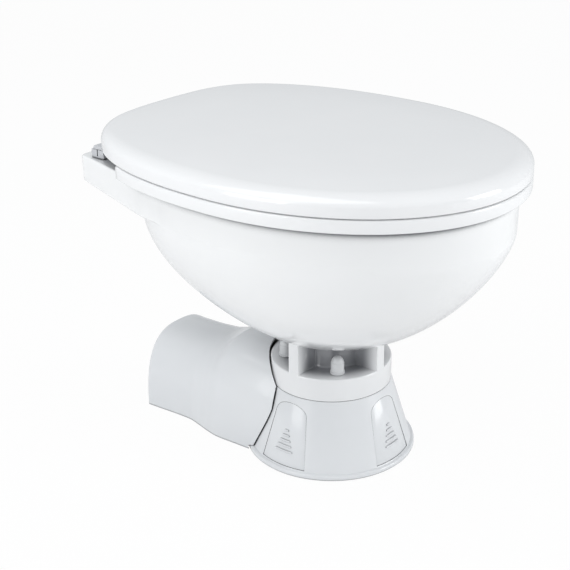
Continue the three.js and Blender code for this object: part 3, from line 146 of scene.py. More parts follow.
def raise_surface(material, shader, noise, depth, strength):
    """The noise lifts the surface by a depth in metres."""
    bump = material.node_tree.nodes.new("ShaderNodeBump")
    bump.inputs["Distance"].default_value = depth
    bump.inputs["Strength"].default_value = strength
    links = material.node_tree.links
    links.new(noise.outputs["Fac"], bump.inputs["Height"])
    links.new(bump.outputs["Normal"], shader.inputs["Normal"])


def spread_over(material, source, first, last, low=0.0, high=1.0, kind="SMOOTHSTEP"):
    """A value that runs from low to high while the source runs from first to last."""
    spread = material.node_tree.nodes.new("ShaderNodeMapRange")
    spread.interpolation_type = kind
    spread.inputs["From Min"].default_value = first
    spread.inputs["From Max"].default_value = last
    spread.inputs["To Min"].default_value = low
    spread.inputs["To Max"].default_value = high
    material.node_tree.links.new(source, spread.inputs["Value"])
    return spread.outputs["Result"]


def product(material, first, second):
    """One amount times another."""
    step = material.node_tree.nodes.new("ShaderNodeMath")
    step.operation = "MULTIPLY"
    material.node_tree.links.new(first, step.inputs[0])
    material.node_tree.links.new(second, step.inputs[1])
    return step.outputs[0]


def tint(material, shader, amount, color):
    """Draws the base colour towards another colour by the amount."""
    mix = material.node_tree.nodes.new("ShaderNodeMix")
    mix.data_type = "RGBA"
    socket = shader.inputs["Base Color"]
    material.node_tree.links.new(socket.links[0].from_socket, mix.inputs[6])
    material.node_tree.links.new(amount, mix.inputs["Factor"])
    mix.inputs[7].default_value = (*color, 1.0)
    material.node_tree.links.new(mix.outputs[2], socket)


def paint_seam_shade(material, shader, color):
    """Painted shade: darkens the colour in narrow gaps and inner corners, by how closed the place is."""
    cover = material.node_tree.nodes.new("ShaderNodeAmbientOcclusion")
    cover.samples = 16
    cover.inputs["Distance"].default_value = seam_shade_reach * MM
    shut = spread_over(material, cover.outputs["AO"], seam_open, seam_shut, kind="LINEAR")
    tint(material, shader, shut, color)


def gloss_moulding(name, color, shade, low, high, coat):
    """Glossy moulded plastic: faint mottling of the pigment and the slow waves of a moulded surface."""
    material, shader = principled(name, color, low, coat=coat)
    vary_color(material, shader, cloud(material, 14.0), color, shade)
    vary_roughness(material, shader, cloud(material, 60.0), low, high)
    raise_surface(material, shader, cloud(material, 25.0, 1.0), 0.0004, 0.05)
    return material, shader


moulding, shader = gloss_moulding("base_moulding", (0.73, 0.745, 0.76), (0.715, 0.73, 0.747), 0.2, 0.27, 0.3)
# Painted shade in the moulding's seams, gaps and inner corners.
paint_seam_shade(moulding, shader, (0.05, 0.052, 0.056))


def new_object(name, points, faces):
    """A mesh object from points in millimetres round the base's axis."""
    mesh = bpy.data.meshes.new(name)
    places = [(x * MM, y * MM + axis_y, z * MM) for x, y, z in points]
    mesh.from_pydata(places, [], faces)
    thing = bpy.data.objects.new(name, mesh)
    bpy.context.scene.collection.objects.link(thing)
    return thing


def settle(thing):
    """Turns the object with its modifiers into a plain mesh."""
    graph = bpy.context.evaluated_depsgraph_get()
    mesh = bpy.data.meshes.new_from_object(thing.evaluated_get(graph))
    old = thing.data
    thing.modifiers.clear()
    thing.data = mesh
    bpy.data.meshes.remove(old)
    return thing


def tidy_mesh(thing):
    """Merges doubles, drops empty faces and points all faces outwards."""
    work = bmesh.new()
    work.from_mesh(thing.data)
    bmesh.ops.remove_doubles(work, verts=work.verts, dist=1e-6)
    bmesh.ops.dissolve_degenerate(work, edges=work.edges, dist=1e-6)
    bmesh.ops.recalc_face_normals(work, faces=work.faces)
    work.to_mesh(thing.data)
    work.free()
    return thing


def smooth(thing, sharp_angle=35.0):
    """Shades the mesh smooth, apart from edges sharper than the angle."""
    work = bmesh.new()
    work.from_mesh(thing.data)
    limit = math.radians(sharp_angle)
    for face in work.faces:
        face.smooth = True
    for edge in work.edges:
        edge.smooth = len(edge.link_faces) == 2 and edge.calc_face_angle(0.0) < limit
    work.to_mesh(thing.data)
    work.free()
    return thing


def skin(name, rows, ring=False):
    """A closed skin over rows of equally many points. A ring joins its last row to its first."""
    rows = np.asarray(rows, float)
    count, across = rows.shape[:2]
    points = [tuple(point) for row in rows for point in row]
    faces = []
    spans = count if ring else count - 1
    for row in range(spans):
        here = row * across
        there = ((row + 1) % count) * across
        for step in range(across):
            after = (step + 1) % across
            faces.append((here + step, here + after, there + after, there + step))
    if not ring:
        for row in (0, count - 1):
            hub = len(points)
            points.append(tuple(rows[row].mean(axis=0)))
            for step in range(across):
                faces.append((row * across + step, row * across + (step + 1) % across, hub))
    return tidy_mesh(new_object(name, points, faces))


def around(steps):
    """Evenly spaced directions round a full turn."""
    return np.arange(steps) * 2 * math.pi / steps


def turned(name, outline, steps, ring=False):
    """A turned shape: outline points are (radius, height) round the upright axis."""
    angles = around(steps)
    rows = []
    for radius, height in outline:
        rows.append(np.stack([radius * np.cos(angles), radius * np.sin(angles), np.full(steps, height)], 1))
    return skin(name, rows, ring)


def arc(centre, radius, first, last, steps=6):
    """Points of a round corner, between two angles in degrees."""
    angles = np.radians(np.linspace(first, last, steps))
    return [(centre[0] + radius * math.cos(a), centre[1] + radius * math.sin(a)) for a in angles]


def six_faces(name, corners):
    """A closed block from its eight corners, with the third direction changing fastest."""
    faces = [(0, 1, 3, 2), (4, 6, 7, 5), (0, 4, 5, 1), (2, 3, 7, 6), (0, 2, 6, 4), (1, 5, 7, 3)]
    return tidy_mesh(new_object(name, corners, faces))


def block(name, low, high):
    """A plain block between two corners, for cutting and joining."""
    corners = [(x, y, z) for x in (low[0], high[0]) for y in (low[1], high[1]) for z in (low[2], high[2])]
    return six_faces(name, corners)


def rod_along(name, axis, radius, start, end, place, steps=48):
    """A round rod along Y or X, or upright, between two positions on its own axis."""
    angles = around(steps)
    first = radius * np.cos(angles)
    second = radius * np.sin(angles)
    rows = []
    for position in (start, end):
        along = np.full(steps, position)
        if axis == "y":
            rows.append(np.stack([place[0] + first, along, place[1] + second], 1))
        elif axis == "x":
            rows.append(np.stack([along, place[0] + first, place[1] + second], 1))
        else:
            rows.append(np.stack([place[0] + first, place[1] + second, along], 1))
    return skin(name, rows)


def boolean(thing, tools, operation):
    """Cuts, joins or intersects with each tool in turn, then removes the tools."""
    for tool in tools:
        change = thing.modifiers.new("change", "BOOLEAN")
        change.operation = operation
        change.solver = "EXACT"
        change.object = tool
        settle(thing)
        old = tool.data
        bpy.data.objects.remove(tool)
        bpy.data.meshes.remove(old)
    return thing


def carve(thing, *tools):
    return boolean(thing, tools, "DIFFERENCE")


def weld(thing, *tools):
    return boolean(thing, tools, "UNION")


def show(thing, material, body, slot_name, *nodes):
    """Gives a finished piece its material, hangs it on its body, and hides the CAD nodes it stands for."""
    thing.data.materials.clear()
    thing.data.materials.append(material)
    for face in thing.data.polygons:
        face.material_index = 0
    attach(thing, body)
    if nodes:
        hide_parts(*nodes)
    return thing


def flare_at(height, gap=0.0):
    """The skirt's radius at a height, with a gap kept round it."""
    share = (height - flare_rise) / (base_height - flare_rise)
    return flare_foot + (seam_radius - flare_foot) * share + gap


def skirt_outline(gap=0.0):
    """The skirt's outer outline from the floor to the seam, with its rounded lip."""
    lip_top = arc((foot_radius - foot_lip_radius + gap, foot_lip), foot_lip_radius, 0, 80)
    return [
        (foot_radius - foot_lip_edge + gap, 0.0),
        (foot_radius + gap, foot_lip_edge),
        *lip_top,
        (flare_foot + 1.0 + gap, flare_rise + 0.1),
        (flare_foot + 0.1 + gap, flare_rise + 1.3),
        (flare_at(base_height - skirt_edge, gap), base_height - skirt_edge),
        (flare_at(base_height, gap) - skirt_edge, base_height),
    ]


inner_top = base_height - top_plate
base = turned(
    "base_shell",
    [
        (0.0, well_floor - well_wall),
        (well_radius + well_wall, well_floor - well_wall),
        (well_radius + well_wall, inner_top),
        (flare_at(inner_top) - base_wall, inner_top),
        (flare_foot - base_wall, flare_rise),
        (flare_foot - base_wall, 0.0),
        *skirt_outline(),
        (gasket_outer + fit, base_height),
        (gasket_outer + fit, base_height - gasket_depth),
        (gasket_inner - fit, base_height - gasket_depth),
        (gasket_inner - fit, base_height),
        (well_radius, base_height),
        (well_radius, well_floor),
        (0.0, well_floor),
    ],
    160,
)


def hatch_place(angle, sideways, height, outwards):
    """A point in a screw cover's own directions, round the base's axis."""
    x = outwards * math.cos(angle) - sideways * math.sin(angle)
    y = outwards * math.sin(angle) + sideways * math.cos(angle)
    return (x, y, height)


def facing_block(name, angle, sideways, height, outwards):
    """A block that faces the way its screw cover does."""
    return six_faces(name, [hatch_place(angle, s, h, o) for o in outwards for s in sideways for h in height])


hatch_bottom_half = 28.5
hatch_shoulder_half = 20.4
hatch_shoulder = 60.0
hatch_top = 72.5
hatch_foot = 6.6
hatch_thickness = 2.6
hatch_ledge = 5.0


def hatch_prism(name, shrink, inner, outer, angle):
    """A plate with the outline of a screw cover: sloping sides under an arched top."""
    half = hatch_bottom_half - shrink
    shoulder = hatch_shoulder_half - shrink
    rise = hatch_top - hatch_shoulder - shrink
    outline = [(-half, hatch_foot + shrink), (half, hatch_foot + shrink)]
    for turn in np.radians(np.linspace(0, 180, 25)):
        outline.append((shoulder * math.cos(turn), hatch_shoulder + rise * math.sin(turn)))
    rows = [[hatch_place(angle, s, h, depth) for s, h in outline] for depth in (inner, outer)]
    return skin(name, rows)


def flare_layer(name, near, deep):
    """The skirt's own flare as a layer between two depths under its face."""
    low, high = flare_at(flare_rise), flare_at(base_height)
    outline = [(low - deep, flare_rise), (low - near, flare_rise), (high - near, base_height)]
    return turned(name, [*outline, (high - deep, base_height)], 160, ring=True)


hatch_angles = {"left": math.pi, "front": -math.pi / 2, "right": 0.0}
tab_inner = 62.0
duct = rod_along("duct", "y", duct_radius, well_radius, pump_front - fit, (0.0, axle_height))
weld(base, duct)
bolt_offset = 35.0
bolt_hole = 4.35
gate = block(
    "pump_gate",
    (-gate_half, pump_front - fit, flare_rise),
    (gate_half, foot_radius + 2, inner_top - 2),
)
bore = rod_along("duct_bore", "y", duct_bore, well_radius - well_wall, pump_front, (0.0, axle_height))
carve(base, bore, gate)
for x, y in quarters:
    place = (x * bolt_offset, y * bolt_offset)
    carve(base, rod_along("bolt_hole", "z", bolt_hole, inner_top - 2, base_height + 2, place, 24))
for angle in hatch_angles.values():
    recess = hatch_prism("recess", 0.0, seam_radius - 2, foot_radius + 2, angle)
    boolean(recess, [flare_layer("layer", -foot_radius, hatch_thickness + fit)], "INTERSECT")
    window = hatch_prism("window", hatch_ledge, tab_inner, foot_radius, angle)
    carve(base, recess, window)
    reach = (tab_inner, flare_foot - base_wall + 1)
    weld(base, facing_block("tab", angle, (-tab_half, tab_half), (0, tab_thickness), reach))
    place = hatch_place(angle, 0, 0, tab_radius)[:2]
    carve(base, rod_along("tab_hole", "z", floor_screw_hole, -2, tab_thickness + 2, place, 24))

cover_front = 27.0
cover_rear = 217.0
cover_wall = 3.0
cover_seam = 2.0
cover_half = 77.0
cover_height = 112.5
cover_along = (0, 0.174, 0.3, 0.395, 0.489, 0.579, 0.668, 0.805, 0.942, 0.984, 1)
cover_aside = (0.01, 0.024, 0.05, 0.086, 0.108, 0.123, 0.131, 0.154, 0.176, 0.178, 0.181)
cover_across = (0.952, 0.971, 0.96, 0.931, 0.87, 0.798, 0.749, 0.739, 0.742, 0.747, 0.737)
cover_up = (0.96, 0.987, 1, 0.982, 0.894, 0.835, 0.805, 0.795, 0.798, 0.8, 0.791)
cover_power = (3, 3, 3, 3, 2.9, 2.8, 2.8, 2.8, 2.8, 2.8, 2.8)


def eased(place, places, values):
    """A smooth curve through the table's values that never overshoots them."""
    places = np.asarray(places, float)
    values = np.asarray(values, float)
    steps = np.diff(places)
    slopes = np.diff(values) / steps
    tangents = np.zeros_like(values)
    for k in range(1, len(values) - 1):
        if slopes[k - 1] * slopes[k] > 0:
            tangents[k] = 2 * slopes[k - 1] * slopes[k] / (slopes[k - 1] + slopes[k])
    tangents[0], tangents[-1] = slopes[0], slopes[-1]
    k = int(np.clip(np.searchsorted(places, place) - 1, 0, len(steps) - 1))
    t = (place - places[k]) / steps[k]
    first = (2 * t**3 - 3 * t**2 + 1) * values[k] + (t**3 - 2 * t**2 + t) * steps[k] * tangents[k]
    second = (3 * t**2 - 2 * t**3) * values[k + 1] + (t**3 - t**2) * steps[k] * tangents[k + 1]
    return first + second


def cover_loop(y, inset, below, arch_steps=72):
    """The motor cover's arch at one place along its length. It leans to the discharge side."""
    share = (y - cover_front) / (cover_rear - cover_front)
    middle = -cover_half * eased(share, cover_along, cover_aside)
    half = cover_half * eased(share, cover_along, cover_across) - inset
    height = cover_height * eased(share, cover_along, cover_up) - inset
    power = 2 / eased(share, cover_along, cover_power)
    turn = np.linspace(0, math.pi, arch_steps + 1)
    cosine, sine = np.cos(turn), np.clip(np.sin(turn), 0, 1)
    x = middle + half * np.sign(cosine) * np.abs(cosine) ** power
    z = height * sine**power
    z[0] = z[-1] = 0
    x = np.concatenate([[middle + half], x, [middle - half]])
    z = np.concatenate([[-below], z, [-below]])
    return np.stack([x, np.full(len(x), y), z], 1)


def cover_tunnel(name, inset, below, rear, rounding=0.0):
    """The arched tunnel behind the base, with its rear edge rounded."""
    rows = [cover_loop(y, inset, below) for y in np.linspace(cover_front, rear - rounding, 90)]
    for turn in np.radians(np.linspace(15, 90, 6)) if rounding else ():
        edge = cover_loop(rear - rounding, inset + rounding * (1 - math.cos(turn)), below)
        edge[:, 1] = rear - rounding + rounding * math.sin(turn)
        rows.append(edge)
    return skin(name, rows)


tray = cover_tunnel("tray", cover_wall + fit, 0.0, cover_rear - cover_wall - fit)
slab = block("slab", (-foot_radius, 60, 0), (foot_radius, cover_rear, tray_thickness))
boolean(tray, [slab], "INTERSECT")
saddles = []
for y in saddle_places:
    saddle = block("saddle", (-saddle_half, y, 1), (saddle_half, y + saddle_thickness, saddle_rise))
    carve(saddle, rod_along("room", "y", pump_radius + fit, 60, cover_rear, (0.0, axle_height), 96))
    saddles.append(saddle)
bosses = [rod_along("boss", "z", boss_radius, 1, boss_rise, (s * boss_spread, boss_place)) for s in (-1, 1)]
weld(base, tray, *saddles, *bosses)
for side in (-1, 1):
    place = (side * boss_spread, boss_place)
    carve(base, rod_along("screw_hole", "z", strap_screw_hole, -2, boss_rise + 2, place, 24))
    place = (side * tray_screw_half, tray_screw_place)
    carve(base, rod_along("tray_hole", "z", floor_screw_hole, -2, tray_thickness + 2, place, 24))
smooth(tidy_mesh(base))
show(base, moulding, "root", "moulding", "base")

# Screw covers
# Three snap-in covers of the same plastic hide the screws that hold the base to the floor.
# Each follows the skirt's flare and has five raised grip ridges; two clips hold it in its window.
ridge_count = 5
ridge_lowest = 21.0
ridge_pitch = 5.4
ridge_long = 11.4
ridge_short = 2.6
ridge_height = 1.9
ridge_proud = 1.7
bar_radius = 0.85
bar_depth = 1.85
clip_spread = 13.0
clip_half = 2.0
clip_low = 22.0
clip_high = 30.0
clip_depth = 5.7
clip_sunk = 1.9


def ridge_template():
    """A rounded bar one unit long to each side, lying sideways, its back sunk in the cover."""
    crest = arc((0.0, bar_depth - bar_radius), bar_radius, 180, 0, 9)
    section = [(-bar_radius, 0.0), *crest, (bar_radius, 0.0)]
    rows = []
    for along in (-1, -0.97, -0.9, -0.6, -0.3, 0, 0.3, 0.6, 0.9, 0.97, 1):
        full = 0.55 * math.sqrt(1 - abs(along) ** 12) + 0.45
        rows.append([(along, b, a * full) for a, b in section])
    return skin("ridge_bar", rows)


def new_tree(name, **inputs):
    """An empty geometry-nodes tree with its named inputs, each with its kind of socket."""
    tree = bpy.data.node_groups.new(name, "GeometryNodeTree")
    for label, kind in inputs.items():
        tree.interface.new_socket(label, in_out="INPUT", socket_type="NodeSocket" + kind)
    tree.interface.new_socket("Geometry", in_out="OUTPUT", socket_type="NodeSocketGeometry")
    return tree


def copies_on(tree, points, template, scale=None):
    """Geometry nodes: a copy of the template at each point, all made real."""
    make, link = tree.nodes.new, tree.links.new
    single = make("GeometryNodeObjectInfo")
    single.inputs["Object"].default_value = template
    copies = make("GeometryNodeInstanceOnPoints")
    link(points, copies.inputs["Points"])
    link(single.outputs["Geometry"], copies.inputs["Instance"])
    if scale is not None:
        link(scale, copies.inputs["Scale"])
    real = make("GeometryNodeRealizeInstances")
    link(copies.outputs[0], real.inputs[0])
    return real.outputs[0]


def painted(tree, geometry, material):
    """Geometry nodes: the geometry in its material, as what the tree gives back."""
    paint = tree.nodes.new("GeometryNodeSetMaterial")
    paint.inputs["Material"].default_value = material
    tree.links.new(geometry, paint.inputs["Geometry"])
    tree.links.new(paint.outputs[0], tree.nodes.new("NodeGroupOutput").inputs[0])
    return tree


def grip_tree(material, template):
    """Geometry nodes: a column of bars that get shorter upwards and bend round the skirt."""
    tree = new_tree("grip_ridges", Ridges="Int", Pitch="Float", Lean="Float", Longest="Float",
                    Shortest="Float", Bend="Float")
    make, link = tree.nodes.new, tree.links.new
    sizes = make("NodeGroupInput").outputs

    def math_node(operation, first, second=None):
        step = make("ShaderNodeMath")
        step.operation = operation
        for socket, value in zip(step.inputs, (first, second)):
            if isinstance(value, (int, float)):
                socket.default_value = value
            elif value is not None:
                link(value, socket)
        return step.outputs[0]

    offset = make("ShaderNodeCombineXYZ")
    link(sizes["Lean"], offset.inputs["Y"])
    link(sizes["Pitch"], offset.inputs["Z"])
    line = make("GeometryNodeMeshLine")
    link(sizes["Ridges"], line.inputs["Count"])
    link(offset.outputs[0], line.inputs["Offset"])
    rank = math_node("DIVIDE", make("GeometryNodeInputIndex").outputs[0],
                     math_node("SUBTRACT", sizes["Ridges"], 1))
    span = math_node("SUBTRACT", sizes["Shortest"], sizes["Longest"])
    length = math_node("ADD", sizes["Longest"], math_node("MULTIPLY", rank, span))
    stretch = make("ShaderNodeCombineXYZ")
    link(length, stretch.inputs["X"])
    stretch.inputs["Y"].default_value = MM
    stretch.inputs["Z"].default_value = MM
    bars = copies_on(tree, line.outputs["Mesh"], template, stretch.outputs[0])
    split = make("ShaderNodeSeparateXYZ")
    link(make("GeometryNodeInputPosition").outputs[0], split.inputs[0])
    across = math_node("MULTIPLY", split.outputs["X"], split.outputs["X"])
    square = math_node("MULTIPLY", sizes["Bend"], sizes["Bend"])
    chord = math_node("SQRT", math_node("SUBTRACT", square, across))
    bend = make("ShaderNodeCombineXYZ")
    link(math_node("SUBTRACT", chord, sizes["Bend"]), bend.inputs["Y"])
    wrap = make("GeometryNodeSetPosition")
    link(bars, wrap.inputs["Geometry"])
    link(bend.outputs[0], wrap.inputs["Offset"])
    return painted(tree, wrap.outputs["Geometry"], material)


def grown(name, tree, sizes, points=()):
    """Runs a geometry-nodes tree, on points if it needs them, and keeps the plain mesh."""
    mesh = bpy.data.meshes.new(name)
    mesh.from_pydata(points, [], [])
    thing = bpy.data.objects.new(name, mesh)
    bpy.context.scene.collection.objects.link(thing)
    grow = thing.modifiers.new("grow", "NODES")
    grow.node_group = tree
    for item in tree.interface.items_tree:
        if item.in_out == "INPUT" and item.name in sizes:
            grow[item.identifier] = sizes[item.name]
    return settle(thing)


bar = ridge_template()
bar.data.transform(Matrix.Translation((0, -axis_y, 0)))
bar.data.transform(Matrix.Scale(1 / MM, 4))
ridge_tree = grip_tree(moulding, bar)
slope = (flare_at(base_height) - flare_at(flare_rise)) / (base_height - flare_rise)


def join_meshes(thing, *others):
    """Adds other meshes to an object as they are, each still closed by itself."""
    work = bmesh.new()
    work.from_mesh(thing.data)
    for other in others:
        work.from_mesh(other.data)
    work.to_mesh(thing.data)
    work.free()
    for other in others:
        old = other.data
        bpy.data.objects.remove(other)
        bpy.data.meshes.remove(old)
    return thing


def rounded(thing, width, segments=3, angle=40.0):
    """Rounds all edges sharper than the angle."""
    edge = thing.modifiers.new("edge", "BEVEL")
    edge.width = width * MM
    edge.segments = segments
    edge.limit_method = "ANGLE"
    edge.angle_limit = math.radians(angle)
    return settle(thing)


clip_face = flare_at(clip_high) - clip_sunk
for side, angle in hatch_angles.items():
    cover = hatch_prism("screw_cover_" + side + "_panel", fit, seam_radius - 2, foot_radius + 2, angle)
    boolean(cover, [flare_layer("layer", 0.0, hatch_thickness)], "INTERSECT")
    for centre in (-clip_spread, clip_spread):
        sideways = (centre - clip_half, centre + clip_half)
        outwards = (clip_face - clip_depth, clip_face)
        weld(cover, facing_block("clip", angle, sideways, (clip_low, clip_high), outwards))
    rounded(tidy_mesh(cover), 0.3, 2, 50.0)
    ridges = grown("ridges", ridge_tree, {
        "Ridges": ridge_count,
        "Pitch": ridge_pitch * MM,
        "Lean": slope * ridge_pitch * MM,
        "Longest": ridge_long * MM,
        "Shortest": ridge_short * MM,
        "Bend": flare_at(32.0) * MM,
    })
    middle = ridge_lowest + ridge_height / 2
    turn = Matrix.Rotation(angle - math.pi / 2, 4, "Z")
    start = Matrix.Translation((0, (flare_at(middle) + ridge_proud - bar_depth) * MM, middle * MM))
    ridges.data.transform(Matrix.Translation((0, axis_y, 0)) @ turn @ start)
    join_meshes(cover, ridges)
    smooth(cover, 25)
    show(cover, moulding, "cover_" + side, "moulding", "screw_cover_" + side)
bpy.data.objects.remove(bar)

# Macerator pump
# A round glass-filled nylon housing pushes onto the base's duct with an O-ring. Behind its chopper plate
# turn the steel blades and the impeller; four long screws clamp it and its back plate to the motor.
steel, shader = principled("bright_steel", (0.62, 0.63, 0.64), 0.28, metallic=1.0)
vary_roughness(steel, shader, cloud(steel, 300.0), 0.22, 0.38)
rubber, shader = principled("black_rubber", (0.045, 0.045, 0.048), 0.75)
vary_color(rubber, shader, cloud(rubber, 90.0), (0.04, 0.04, 0.043), (0.06, 0.06, 0.063))
raise_surface(rubber, shader, cloud(rubber, 900.0), 0.0002, 0.2)
pump_plastic, shader = principled("glass_filled_nylon", (0.035, 0.036, 0.038), 0.45)
vary_color(pump_plastic, shader, cloud(pump_plastic, 150.0), (0.03, 0.031, 0.033), (0.045, 0.046, 0.048))
raise_surface(pump_plastic, shader, cloud(pump_plastic, 1500.0), 0.0001, 0.25)


def dress(material, *names):
    """Gives CAD nodes that stay in view their finish."""
    for name in names:
        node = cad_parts[name]
        node.data.materials.clear()
        node.data.materials.append(material)
        for face in node.data.polygons:
            face.material_index = 0


def along_y(name, outline, place, steps=72, ring=False):
    """A turned shape laid along Y: outline points are (radius, y)."""
    thing = turned(name, outline, steps, ring)
    thing.data.transform(Matrix.Translation((0, -axis_y, 0)))
    lay = Matrix(((1, 0, 0, 0), (0, 0, 1, 0), (0, -1, 0, 0), (0, 0, 0, 1)))
    thing.data.transform(Matrix.Translation((place[0] * MM, axis_y, place[1] * MM)) @ lay)
    return tidy_mesh(thing)


pump_rear = 90.0
pump_bore = 24.0
pump_screw_hole = 2.05
pump_screw_room = 3.25
port_radius = 10.0
port_end = -40.0
port = (78.0, axle_height)
waste_bore = 7.5
axle = (0.0, axle_height)
housing = along_y("macerator_housing_body", [
    (9.5, 46.6), (12.1, 46.6), (12.5, 47.0), (12.5, 50.35), (10.35, 50.35), (10.35, 52.85), (12.5, 52.85),
    (12.5, 58.6), (31.3, 58.6), (32.5, 59.8), (32.5, 89.2), (31.9, pump_rear), (pump_bore, pump_rear),
    (pump_bore, 63.6), (9.5, 63.6),
], axle, 96, ring=True)
weld(housing, rod_along("port", "x", port_radius, port_end, -pump_bore, port))
carve(housing, rod_along("port_bore", "x", waste_bore, port_end - 2, 0, port))
screw_spread = 28.3 * math.sqrt(0.5)
for x, z in quarters:
    place = (x * screw_spread, axle_height + z * screw_spread)
    carve(housing, rod_along("hole", "y", pump_screw_hole, 56.0, 92.0, place, 24))
    carve(housing, rod_along("room", "y", pump_screw_room, 56.0, 62.15, place, 24))
show(smooth(housing), pump_plastic, "root", "pump_plastic", "macerator_housing")
dress(pump_plastic, "pump_back_plate", "impeller")
dress(steel, "chopper_plate", "macerator_blades")
dress(steel, "pump_screw_1", "pump_screw_2", "pump_screw_3", "pump_screw_4")
dress(rubber, "spigot_ring", "pump_o_ring", "shaft_seal")

# Motor
# A steel can, painted black, holds a ferrite ring magnet and a wound armature on two ball bearings.
# The end bell carries the brush holders and the two blade terminals. A steel strap ties the can to its
# saddles on the base.
motor_paint, shader = principled("black_motor_paint", (0.03, 0.03, 0.032), 0.35, metallic=0.1, coat=0.4)
vary_roughness(motor_paint, shader, cloud(motor_paint, 120.0), 0.3, 0.42)
raise_surface(motor_paint, shader, cloud(motor_paint, 700.0), 0.0001, 0.15)
winding, shader = principled("enamelled_copper", (0.58, 0.26, 0.12), 0.35, metallic=0.9, coat=0.3)
vary_color(winding, shader, cloud(winding, 400.0), (0.5, 0.2, 0.09), (0.66, 0.32, 0.16))
ferrite, shader = principled("ferrite", (0.1, 0.1, 0.11), 0.6, metallic=0.2)
vary_color(ferrite, shader, cloud(ferrite, 200.0), (0.08, 0.08, 0.09), (0.13, 0.13, 0.14))
motor_front = 96.7
motor_rear = 176.1
can = along_y("motor_can_body", [
    (4.35, motor_front), (31.5, motor_front), (32.5, motor_front + 1), (32.5, motor_rear),
    (30.0, motor_rear), (30.0, 102.7), (8.35, 102.7), (8.35, 98.35), (4.35, 98.35),
], axle, 96, ring=True)
for x, z in quarters:
    place = (x * screw_spread, axle_height + z * screw_spread)
    carve(can, rod_along("hole", "y", pump_screw_hole, 94.0, 100.55, place, 24))
show(smooth(can), motor_paint, "root", "motor_paint", "motor_can")
strap_inner = 32.85
strap_outer = 34.35
strap_end = 46.35
strap_front = 128.0
strap_rear = 140.0
strap_low = 8.35
strap_foot = 9.85


def across_pair(side, first, second):
    """Two distances from the middle as a span along X, on either side."""
    return sorted((side * first, side * second))


strap = along_y("motor_strap_band", [
    (strap_inner, strap_front), (strap_outer, strap_front),
    (strap_outer, strap_rear), (strap_inner, strap_rear),
], axle, 96, ring=True)
carve(strap, block("lower", (-40, 120, -5), (40, 150, axle_height)))
for side in (-1, 1):
    ends = across_pair(side, strap_inner, strap_outer)
    leg = block("leg", (ends[0], strap_front, strap_low), (ends[1], strap_rear, axle_height + 1))
    ends = across_pair(side, strap_inner, strap_end)
    foot = block("foot", (ends[0], strap_front, strap_low), (ends[1], strap_rear, strap_foot))
    weld(strap, leg, foot)
    carve(strap, rod_along("hole", "z", strap_screw_hole, 0, 20, (side * boss_spread, boss_place), 24))
show(smooth(strap), steel, "root", "steel", "motor_strap")
dress(pump_plastic, "end_bell")
dress(winding, "armature")
dress(ferrite, "field_magnet", "brush_right", "brush_left")
dress(steel, "front_bearing", "rear_bearing", "strap_screw_right", "strap_screw_left")

# Discharge elbow
# A black nylon elbow turns the waste rearwards from the pump's port, which it can swivel on, to a hose barb.
# A rubber joker valve sits in it and lets the waste through one way only.
barb_centre = -46.0
elbow_radius = 12.95
elbow = along_y("discharge_elbow_body", [
    (0.0, port[0]), (elbow_radius, port[0]), (elbow_radius, 107.4), (elbow_radius - 0.6, 108.0),
    (9.5, 108.0), (9.5, 106.0), (10.5, 110.0), (9.5, 114.0), (10.5, 118.0), (9.5, 122.0), (10.5, 126.0),
    (9.5, 130.0), (0.0, 130.0),
], (barb_centre, axle_height))
socket = rod_along("socket", "x", elbow_radius, barb_centre, -34.0, port, 72)


def ball(name, radius, place, steps=48):
    """A ball that rounds the outside or the bore of a bend."""
    turns = np.radians(np.linspace(-90, 90, steps // 2 + 1))
    thing = turned(name, [(radius * math.cos(t), radius * math.sin(t)) for t in turns], steps)
    thing.data.transform(Matrix.Translation(Vector(place) * MM))
    return thing


elbow_bend = (barb_centre, *port)
weld(elbow, socket, ball("corner", elbow_radius, elbow_bend))
passage = rod_along("out", "y", waste_bore, port[0], 132.0, (barb_centre, axle_height), 48)
weld(passage, rod_along("side", "x", waste_bore, barb_centre, -39.0, port, 48))
weld(passage, ball("turn", waste_bore, elbow_bend, 40))
weld(passage, rod_along("seat", "x", port_radius + fit, port_end - fit, -32.0, port, 48))
carve(elbow, passage)
show(smooth(elbow), pump_plastic, "discharge", "pump_plastic", "discharge_elbow")
dress(rubber, "joker_valve")

# Motor cover
# An arched tunnel of the base's plastic slips over the motor from behind and follows the skirt with an
# even seam. Its rear wall has gates at the floor for the discharge hose and the cable.
cover = cover_tunnel("motor_cover_shell", 0.0, 0.0, cover_rear, 2.4)
room = cover_tunnel("room", cover_wall, 2.0, cover_rear - cover_wall)
neck = seam_radius - skirt_edge + cover_seam
cleared = turned("cleared", [
    (0.0, -2.0), (foot_radius + cover_seam, -2.0), *skirt_outline(cover_seam),
    (neck, base_height), (neck, 314.0), (0.0, 314.0),
], 200)
carve(cover, room, cleared)
for gate_name, left, right, top in (("hose_gate", -61, -31, 56), ("cable_gate", 16, 28, 16)):
    carve(cover, block(gate_name, (left, cover_rear - 5, -2), (right, cover_rear + 2, top)))
smooth(tidy_mesh(cover))
show(cover, moulding, "root", "moulding", "motor_cover")

# Bowl
# One glazed china casting: a foot collar with four open pockets between four posts, a deep oval bowl,
# a rim with a rinse channel and an inner lip, and a flat deck behind that carries the hinges.
china, shader = principled("glazed_china", (0.88, 0.885, 0.885), 0.07, coat=0.6)
vary_color(china, shader, cloud(china, 9.0), (0.88, 0.886, 0.888), (0.87, 0.874, 0.875))
vary_roughness(china, shader, cloud(china, 40.0), 0.06, 0.11)
raise_surface(china, shader, cloud(china, 22.0, 2.0), 0.0006, 0.06)

